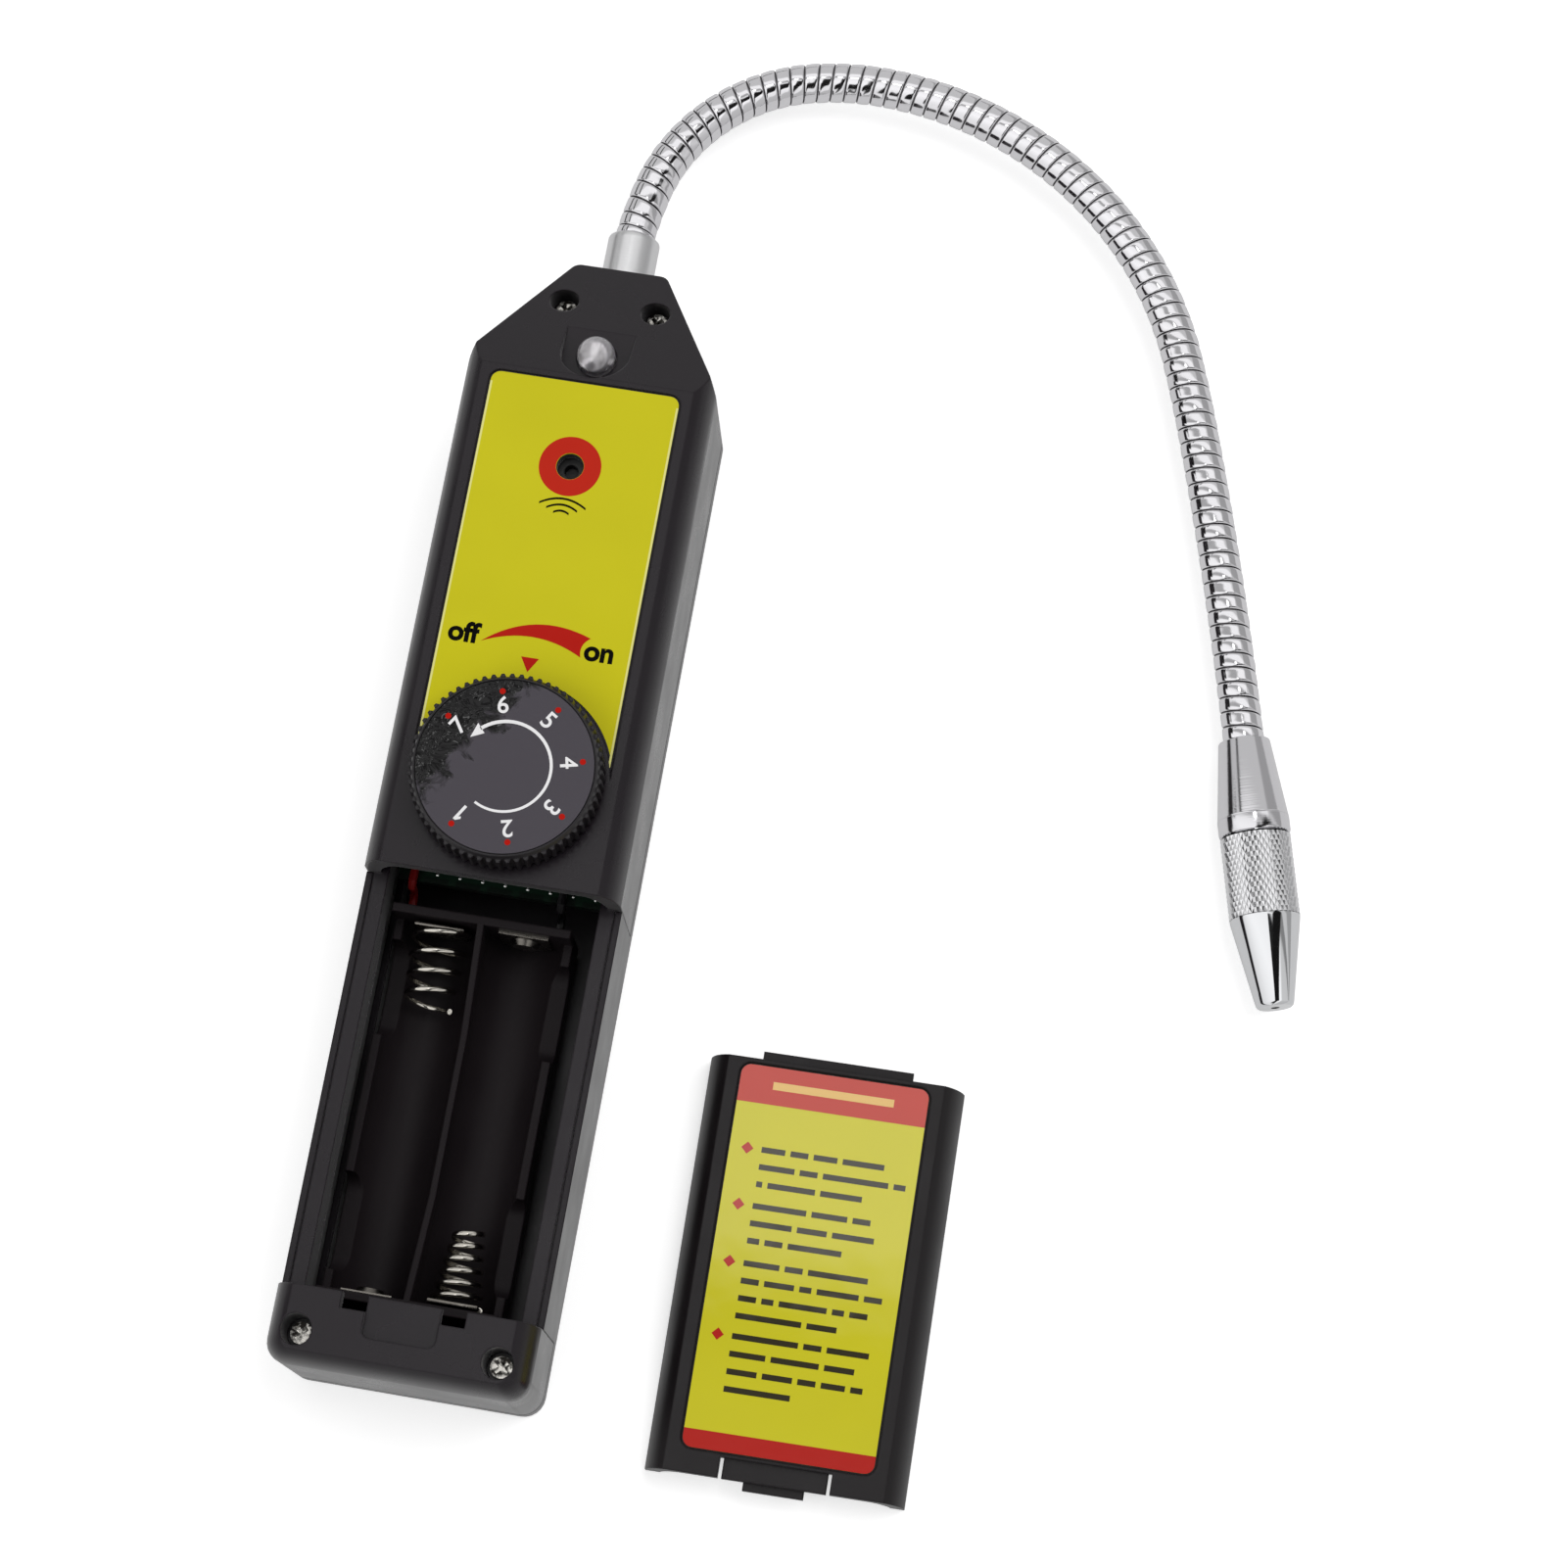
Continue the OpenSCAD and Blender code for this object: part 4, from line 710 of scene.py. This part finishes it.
tip_frame = Matrix.Translation(tip_place) @ tip_axis.to_track_quat("Z", "Y").to_matrix().to_4x4()
mesh = turned(FERRULE, LATHE_STEPS, mark_along=True)
bmesh.ops.transform(mesh, matrix=tip_frame, verts=mesh.verts)
ferrule = keep_piece(mesh, "turned_ferrule", f"link_{LINKS}", ferrule_metal)
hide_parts("tip_ferrule")
mesh = turned(CONE, LATHE_STEPS)
bmesh.ops.transform(mesh, matrix=tip_frame, verts=mesh.verts)
cone = keep_piece(mesh, "polished_cap", "cap", cap_chrome, CONE_CORNER)
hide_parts("tip_cap")

# %% Knurl
DIAMONDS, DIAMOND_L = 40, 1.4
KNURL_FOOT, CREST_R = 0.15, 5.02
KNURL_CORNER = 5

rows = 2 * round(KNURL_L / DIAMOND_L)
mesh = turned([(ROOT_R, KNURL_FOOT + (KNURL_L - KNURL_FOOT) * k / rows) for k in range(rows + 1)],
              2 * DIAMONDS)
hollows, crests = [], []
for vertex in mesh.verts:
    column = round(math.atan2(vertex.co.y, vertex.co.x) / math.pi * DIAMONDS)
    row = round((vertex.co.z / MM - KNURL_FOOT) / (KNURL_L - KNURL_FOOT) * rows)
    (crests if (column + row) % 2 else hollows).append(vertex)
bmesh.ops.connect_verts(mesh, verts=hollows)
for vertex in crests:
    vertex.co.xy *= CREST_R / ROOT_R
bmesh.ops.recalc_face_normals(mesh, faces=mesh.faces)
bmesh.ops.transform(mesh, matrix=tip_frame, verts=mesh.verts)
keep_piece(mesh, "diamond_knurl", "cap", knurl_chrome, KNURL_CORNER)
print("knurl crests", len(crests))

# %% [markdown]
# ## Contact springs
# Each spring is plated wire wound to a cone, on a small plate. A curve with a round bevel would do,
# but spinning a circle with a rise gives an even coil whose rings can then be drawn in towards the
# free end.

# %% Contact springs
WIRE_R, WIRE_SIDES, WIRE_CORNER = 0.4, 12, 60
TURN_STEPS = 28
CELL_PITCH, CELL_Z = 11.8 * MM, 12.65 * MM
# From the holder's end to the foot of a spring: the holder's wall and the plate.
HOLDER_WALL, SPRING_FOOT = 1.2 * MM, 0.4 * MM
PLATE, PLATE_EDGE = (7, 0.5, 7), 0.15
# Name, side of the bay, base and end radius, length and turns.
SPRINGS = [("upper_contact_spring", -1, 3.9, 3.2, 11.0, 4),
           ("lower_contact_spring", 1, 3.4, 2.0, 10.3, 6)]

holder_low, holder_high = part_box("battery_holder")
bay_middle = (holder_low[0] + holder_high[0]) / 2
for name, side, base_r, end_r, length, turns in SPRINGS:
    mesh = bmesh.new()
    upright = Matrix.Translation((base_r * MM, 0, 0)) @ Matrix.Rotation(math.pi / 2, 4, "X")
    ring = bmesh.ops.create_circle(mesh, cap_ends=False, radius=WIRE_R * MM, segments=WIRE_SIDES,
                                   matrix=upright)
    bmesh.ops.spin(mesh, geom=ring["verts"] + list(mesh.edges), cent=(0, 0, 0), axis=(0, 0, 1),
                   dvec=(0, 0, length * MM / (turns * TURN_STEPS)), angle=2 * math.pi * turns,
                   steps=turns * TURN_STEPS, use_merge=False, use_duplicate=False)
    for vertex in mesh.verts:
        share = max(0.0, min(1.0, vertex.co.z / (length * MM)))
        vertex.co.xy *= 1 + share * (end_r / base_r - 1)
    bmesh.ops.holes_fill(mesh, edges=[e for e in mesh.edges if e.is_boundary], sides=WIRE_SIDES)
    bmesh.ops.recalc_face_normals(mesh, faces=mesh.faces)
    if side < 0:
        end = holder_high[1] - HOLDER_WALL - SPRING_FOOT
    else:
        end = holder_low[1] + HOLDER_WALL + SPRING_FOOT
    stand = (Matrix.Translation((bay_middle + side * CELL_PITCH / 2, end, CELL_Z))
             @ Matrix.Rotation(-side * math.pi / 2, 4, "X")
             @ Matrix.Translation((0, 0, WIRE_R * MM)))
    bmesh.ops.transform(mesh, matrix=stand, verts=mesh.verts)
    spring = keep_piece(mesh, name, "case", spring_nickel, WIRE_CORNER)
    if side < 0:
        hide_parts("spring_contacts")
    keep_piece(block(stand.translation, PLATE, PLATE_EDGE), name + "_plate", "case",
               plate_nickel)

# %% [markdown]
# ## Status lamp
# A round lamp of milky epoxy with its reflector cup and post just visible inside. A sphere would
# lack the flange and what the epoxy holds, so the dome and the cup are turned half sections, and
# the post is a small bevelled block.

# %% Status lamp
LAMP_R, DOME_STEPS, LAMP_SIDES, CUP_SIDES = 2.75, 14, 48, 32
# Heights below the dome's centre.
FLANGE_R, FLANGE_TOP, FLANGE_FOOT = 3.15, -3.2, -4.2
CUP = [(0.3, -1.9), (0.5, -1.9), (1.25, -0.75), (1.4, -0.7), (1.4, -1.0), (0.9, -2.4), (0.3, -2.4)]
CUP_X, POST_X, POST_Z = -0.5, 1.35, -2.4
POST, POST_EDGE = (0.8, 0.6, 3), 0.1

lamp_low, lamp_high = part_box("status_lamp")
lamp_x, lamp_y = (lamp_low[0] + lamp_high[0]) / 2, (lamp_low[1] + lamp_high[1]) / 2
dome_z = lamp_high[2] / MM - LAMP_R
dome = [(0.0, LAMP_R)]
for k in range(1, DOME_STEPS + 1):
    angle = math.pi / 2 * k / DOME_STEPS
    dome.append((LAMP_R * math.sin(angle), LAMP_R * math.cos(angle)))
dome += [(LAMP_R, FLANGE_TOP), (FLANGE_R, FLANGE_TOP), (FLANGE_R, FLANGE_FOOT), (0.0, FLANGE_FOOT)]
mesh = turned([(r, dome_z + z) for r, z in dome], LAMP_SIDES)
bmesh.ops.translate(mesh, vec=(lamp_x, lamp_y, 0), verts=mesh.verts)
lamp = keep_piece(mesh, "lamp_dome", "case", lamp_epoxy)
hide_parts("status_lamp")
mesh = turned([(r, dome_z + z) for r, z in CUP], CUP_SIDES)
bmesh.ops.translate(mesh, vec=(lamp_x + CUP_X * MM, lamp_y, 0), verts=mesh.verts)
keep_piece(mesh, "lamp_reflector_cup", "case", solder_tin)
post_place = (lamp_x + POST_X * MM, lamp_y, (dome_z + POST_Z) * MM)
keep_piece(block(post_place, POST, POST_EDGE), "lamp_post", "case", solder_tin)

# %% [markdown]
# ## Print on the panel
# The ring round the sound hole, the pointer, the swelling stroke and the two words are screen
# printed. They could be drawn in a texture, but a thin raised layer keeps crisp edges at any
# distance. Outlines are filled, and the extrude operator gives each a hair of thickness.

# %% Helpers for print
INK = 0.03 * MM


def layer(mesh, height):
    """Give flat faces at z = 0 an ink's thickness and lift them to a surface."""
    bmesh.ops.recalc_face_normals(mesh, faces=mesh.faces)
    raised = bmesh.ops.extrude_face_region(mesh, geom=list(mesh.faces))
    tops = [item for item in raised["geom"] if isinstance(item, bmesh.types.BMVert)]
    bmesh.ops.translate(mesh, vec=(0, 0, INK), verts=tops)
    bmesh.ops.recalc_face_normals(mesh, faces=mesh.faces)
    bmesh.ops.translate(mesh, vec=(0, 0, height), verts=mesh.verts)


def at(x, y):
    """A place on the plane z = 0, from millimetres."""
    return Vector((x * MM, y * MM, 0))


def outline_mesh(points):
    mesh = bmesh.new()
    mesh.faces.new([mesh.verts.new(at(x, y)) for x, y in points])
    return mesh


def box_points(x0, y0, x1, y1):
    return [(x0, y0), (x1, y0), (x1, y1), (x0, y1)]


def ring_mesh(centre, outer, inner, segments=64):
    mesh = bmesh.new()
    for radius in (outer, inner):
        bmesh.ops.create_circle(mesh, cap_ends=False, radius=radius * MM, segments=segments,
                                matrix=Matrix.Translation(at(*centre)))
    bmesh.ops.bridge_loops(mesh, edges=list(mesh.edges))
    return mesh


def disc_mesh(centre, radius, segments=24):
    mesh = bmesh.new()
    bmesh.ops.create_circle(mesh, cap_ends=True, radius=radius * MM, segments=segments,
                            matrix=Matrix.Translation(at(*centre)))
    return mesh


def arc_points(a, b, rise, steps=16):
    """Points from a to b along a shallow arc that rises to the left of the way."""
    a, b = Vector(a), Vector(b)
    across = Vector((-(b - a).y, (b - a).x)).normalized()
    shares = [k / steps for k in range(steps + 1)]
    return [a.lerp(b, share) + across * rise * 4 * share * (1 - share) for share in shares]


def text_mesh(words, size, weight, by_height=False):
    """Words as a flat mesh, centred, scaled to a width or a height in millimetres."""
    curve = bpy.data.curves.new("words", "FONT")
    curve.body, curve.align_x, curve.align_y, curve.offset = words, "CENTER", "CENTER", weight
    holder = bpy.data.objects.new("words", curve)
    scene.collection.objects.link(holder)
    bpy.context.view_layer.update()
    shown = holder.evaluated_get(bpy.context.evaluated_depsgraph_get())
    data = bpy.data.meshes.new_from_object(shown)
    mesh = bmesh.new()
    mesh.from_mesh(data)
    bpy.data.objects.remove(holder)
    bpy.data.curves.remove(curve)
    bpy.data.meshes.remove(data)
    xs = [v.co.x for v in mesh.verts]
    ys = [v.co.y for v in mesh.verts]
    centre = Vector(((max(xs) + min(xs)) / 2, (max(ys) + min(ys)) / 2, 0))
    bmesh.ops.translate(mesh, vec=-centre, verts=mesh.verts)
    drawn = max(ys) - min(ys) if by_height else max(xs) - min(xs)
    bmesh.ops.scale(mesh, vec=Vector((1, 1, 1)) * size * MM / drawn, verts=mesh.verts)
    bmesh.ops.remove_doubles(mesh, verts=mesh.verts, dist=MERGE)
    return mesh


# %% Print on the panel
label_low, label_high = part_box("front_label")
BUZZER_Y = 46.9
RING_R, RING_HOLE_R = 4.4, 1.98
# Three sound waves: half width, rise and step of each, drop below the hole and line width.
WAVE_W, WAVE_RISE, WAVE_STEP, WAVE_DROP, WAVE_LINE = 1.1, 0.35, 0.55, 7.4, 0.3
POINTER = [(-1.55, 18.45), (0.95, 18.45), (-0.3, 16.35)]
# The swelling stroke: its thin end, and the upper and lower corner of its thick end; how far its
# upper edge, its thick end and its lower edge are bowed.
SWELL_THIN, SWELL_UPPER, SWELL_LOWER = (-7.5, 19.8), (7.5, 22.5), (6.55, 19.6)
UPPER_BOW, END_BOW, LOWER_BOW = 2.2, -0.55, -1.75
# Words, middle and width.
WORDS = [("off", (-10.0, 20.75), 4.5), ("on", (9.0, 20.35), 4.1)]
WORD_WEIGHT = 0.035
# A pale line along each long edge of the label paints the highlight on the film's cut edge. It runs
# from above the knob's axis to below the top corner.
EDGE_LINE, EDGE_FOOT, EDGE_TOP = 0.3, 3.5, 1.6


def print_on_panel(mesh, name, ink):
    layer(mesh, label_high[2])
    keep_piece(mesh, name, "case", ink)


print_on_panel(ring_mesh((0, BUZZER_Y), RING_R, RING_HOLE_R), "buzzer_ring", orange_ink)
for k in (1, 2, 3):
    half, rise = WAVE_W * k, WAVE_RISE * k
    upper = BUZZER_Y - WAVE_DROP + WAVE_STEP * k
    lower = upper - WAVE_LINE
    wave = arc_points((-half, upper), (half, upper), rise)
    wave += arc_points((half, lower), (-half, lower), -rise)
    print_on_panel(outline_mesh(wave), f"sound_wave_{k}", black_ink)
print_on_panel(outline_mesh(POINTER), "pointer", red_ink)
swell = arc_points(SWELL_THIN, SWELL_UPPER, UPPER_BOW)
swell += arc_points(SWELL_UPPER, SWELL_LOWER, END_BOW, 8)[1:]
swell += arc_points(SWELL_LOWER, SWELL_THIN, LOWER_BOW)[1:-1]
print_on_panel(outline_mesh(swell), "swelling_stroke", red_ink)
for words, centre, width in WORDS:
    mesh = text_mesh(words, width, WORD_WEIGHT)
    bmesh.ops.translate(mesh, vec=at(*centre), verts=mesh.verts)
    print_on_panel(mesh, "word_" + words, black_ink)
foot, top = knob_axis.y / MM + EDGE_FOOT, label_high[1] / MM - EDGE_TOP
for name, x in (("left", label_low[0] / MM), ("right", label_high[0] / MM - EDGE_LINE)):
    print_on_panel(outline_mesh(box_points(x, foot, x + EDGE_LINE, top)), f"label_edge_{name}",
                   film_edge_highlight)

# %% [markdown]
# ## Print on the dial
# Digits stand round the dial with their heads outwards, each with a red dot, and a curved arrow
# shows the way to turn. The dial turns with the knob, so its print rides on the knob's body. The
# font's figure 1 has a foot that the photograph's lacks, so that one is an outline.

# %% Print on the dial
dial_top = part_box("dial_label")[1][2]
DIGIT_R, DOT_R, ARROW_R = 8.75, 10.65, 6.35
# Degrees from one digit to the next, and the place of the six.
DIGIT_STEP, DIGIT_SIX = 44.85, 12.3
DIGIT_H, DIGIT_WEIGHT, DOT_SIZE = 2.45, 0.012, 0.42
ONE = [(-0.5, 0.62), (-0.02, 1.22), (0.36, 1.22), (0.36, -1.22), (-0.06, -1.22), (-0.06, 0.55),
       (-0.34, 0.32)]
ARROW_START, ARROW_END, ARROW_STEPS = math.radians(-209), math.radians(42), 48
# Half width of the arrow's line at its start, and what it gains on the way.
ARROW_HALF, ARROW_GAIN = 0.17, 0.08
# Half width of the head, its length and how far it laps the line, both as angles.
HEAD_HALF, HEAD_L, HEAD_LAP = 0.85, 0.29, 0.02


def print_on_dial(mesh, name, ink):
    bmesh.ops.translate(mesh, vec=(knob_axis.x, knob_axis.y, 0), verts=mesh.verts)
    layer(mesh, dial_top)
    keep_piece(mesh, name, "knob", ink)


def round_dial(angle, radius):
    return -radius * math.sin(angle), radius * math.cos(angle)


for digit in range(1, 8):
    angle = math.radians(DIGIT_SIX + (digit - 6) * DIGIT_STEP)
    if digit == 1:
        mesh = outline_mesh(ONE)
    else:
        mesh = text_mesh(str(digit), DIGIT_H, DIGIT_WEIGHT, by_height=True)
    bmesh.ops.rotate(mesh, cent=(0, 0, 0), matrix=Matrix.Rotation(angle, 3, "Z"), verts=mesh.verts)
    bmesh.ops.translate(mesh, vec=at(*round_dial(angle, DIGIT_R)), verts=mesh.verts)
    print_on_dial(mesh, f"digit_{digit}", white_ink)
    print_on_dial(disc_mesh(round_dial(angle, DOT_R), DOT_SIZE), f"dot_{digit}", red_ink)
mesh = bmesh.new()
for side in (1, -1):
    points = []
    for share in (k / ARROW_STEPS for k in range(ARROW_STEPS + 1)):
        angle = ARROW_START + (ARROW_END - ARROW_START) * share
        radius = ARROW_R + side * (ARROW_HALF + ARROW_GAIN * share)
        points.append(mesh.verts.new(at(*round_dial(angle, radius))))
    for pair in zip(points, points[1:]):
        mesh.edges.new(pair)
bmesh.ops.bridge_loops(mesh, edges=list(mesh.edges))
print_on_dial(mesh, "turn_arrow_line", white_ink)
head = [round_dial(ARROW_END - HEAD_LAP, ARROW_R + HEAD_HALF),
        round_dial(ARROW_END + HEAD_L, ARROW_R),
        round_dial(ARROW_END - HEAD_LAP, ARROW_R - HEAD_HALF)]
print_on_dial(outline_mesh(head), "turn_arrow_head", white_ink)

# %% [markdown]
# ## Print on the cover
# The cover's label has a red head and foot and four marked paragraphs. The paragraphs stay plain
# word-long strokes. They could be placed one by one where the cover lies, but it is simpler to draw
# all of it on the upright label and turn it with the cover.

# %% Print on the cover
cover_low, cover_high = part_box("cover_label")
cover_middle = Vector(((cover_low[0] + cover_high[0]) / 2, (cover_low[1] + cover_high[1]) / 2, 0))
COVER_TURN = math.radians(0.9)
LABEL_W, LABEL_L, LABEL_R = 26.4, 53.4, 1.4
LABEL_TOP, LABEL_FOOT = LABEL_L / 2, -LABEL_L / 2
HEAD_BAND, FOOT_BAND = 5.3, 2.5
CORNER_STEPS = 6
# Each paragraph: its distance from the top, and its lines as lengths of words in letters.
PARAGRAPHS = [(11.7, [(4, 3, 4, 7), (6, 3, 11, 2), (1, 8, 7)]),
              (19.6, [(9, 6, 3), (7, 5, 7), (2, 3, 9)]),
              (27.6, [(6, 3, 10), (3, 5, 2, 7, 3), (3, 2, 8, 2, 3), (11, 5)]),
              (37.7, [(11, 3, 7), (6, 8, 5), (5, 5, 3, 4, 2), (11,)])]
# Step between lines, width of a letter, gap between words and half the height of a stroke.
LINE, LETTER, GAP, STROKE = 2.42, 0.83, 0.75, 0.4
MARK_X, MARK_R, TEXT_X = -10.7, 0.85, -8.7
# The title's stroke lies a little above the head that it is printed on.
TITLE_W, TITLE_H, TITLE_DROP, TITLE_LIFT = 17, 1.1, 2.6, 0.01


def print_on_cover(mesh, name, ink):
    bmesh.ops.rotate(mesh, cent=(0, 0, 0), matrix=Matrix.Rotation(COVER_TURN, 3, "Z"),
                     verts=mesh.verts)
    bmesh.ops.translate(mesh, vec=cover_middle, verts=mesh.verts)
    layer(mesh, cover_high[2])
    keep_piece(mesh, name, "case", ink)


def band_mesh(y_flat, y_round, side):
    """A band across the label with rounded corners at one end."""
    w = LABEL_W / 2
    corners = []
    for k in range(CORNER_STEPS + 1):
        angle = math.pi / 2 * k / CORNER_STEPS
        corners.append((w - LABEL_R + LABEL_R * math.cos(angle),
                        y_round - side * LABEL_R + side * LABEL_R * math.sin(angle)))
    mirrored = [(-x, y) for x, y in reversed(corners)]
    return outline_mesh([(w, y_flat)] + corners + mirrored + [(-w, y_flat)])


print_on_cover(band_mesh(LABEL_TOP - HEAD_BAND, LABEL_TOP, 1), "cover_head", cover_orange)
print_on_cover(band_mesh(LABEL_FOOT + FOOT_BAND, LABEL_FOOT, -1), "cover_foot", cover_red)
strokes = bmesh.new()
for start, lines in PARAGRAPHS:
    y = LABEL_TOP - start
    mark = [(MARK_X - MARK_R, y), (MARK_X, y - MARK_R), (MARK_X + MARK_R, y), (MARK_X, y + MARK_R)]
    print_on_cover(outline_mesh(mark), f"mark_{round(start)}", cover_red)
    for row, line in enumerate(lines):
        x, y_line = TEXT_X, y - row * LINE
        for letters in line:
            end = x + letters * LETTER
            corners = box_points(x, y_line - STROKE, end, y_line + STROKE)
            strokes.faces.new([strokes.verts.new(at(*corner)) for corner in corners])
            x = end + GAP
print_on_cover(strokes, "word_strokes", brown_ink)
title = bmesh.new()
title_place = Vector((0, LABEL_TOP - TITLE_DROP, TITLE_LIFT)) * MM
bmesh.ops.create_grid(title, x_segments=1, y_segments=1, size=0.5,
                      matrix=Matrix.Translation(title_place)
                      @ Matrix.Diagonal((TITLE_W * MM, TITLE_H * MM, 1, 1)))
print_on_cover(title, "title_stroke", buff_ink)
print("print is on")

# %% [markdown]
# ## Board edge
# Under the panel's lower edge the circuit board shows as a green strip with a row of solder joints.
# Dots of colour would stay flat, so each joint is a small flattened sphere that catches the light.

# %% Solder joints
JOINTS, JOINT_R, JOINT_FLAT = 9, 0.26, 0.6
# The first joint's place, as a share of the step, and the row's distance from the board's edge.
FIRST_JOINT, JOINT_IN = 0.7, 1.3 * MM

board_low, board_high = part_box("circuit_board")
dots = bmesh.new()
for k in range(JOINTS):
    x = board_low[0] + (board_high[0] - board_low[0]) * (k + FIRST_JOINT) / JOINTS
    spot = Matrix.Translation((x, board_low[1] + JOINT_IN, board_high[2]))
    bmesh.ops.create_uvsphere(dots, u_segments=12, v_segments=6, radius=JOINT_R * MM,
                              matrix=spot @ Matrix.Diagonal((1, 1, JOINT_FLAT, 1)))
keep_piece(dots, "solder_joints", "case", solder_tin)
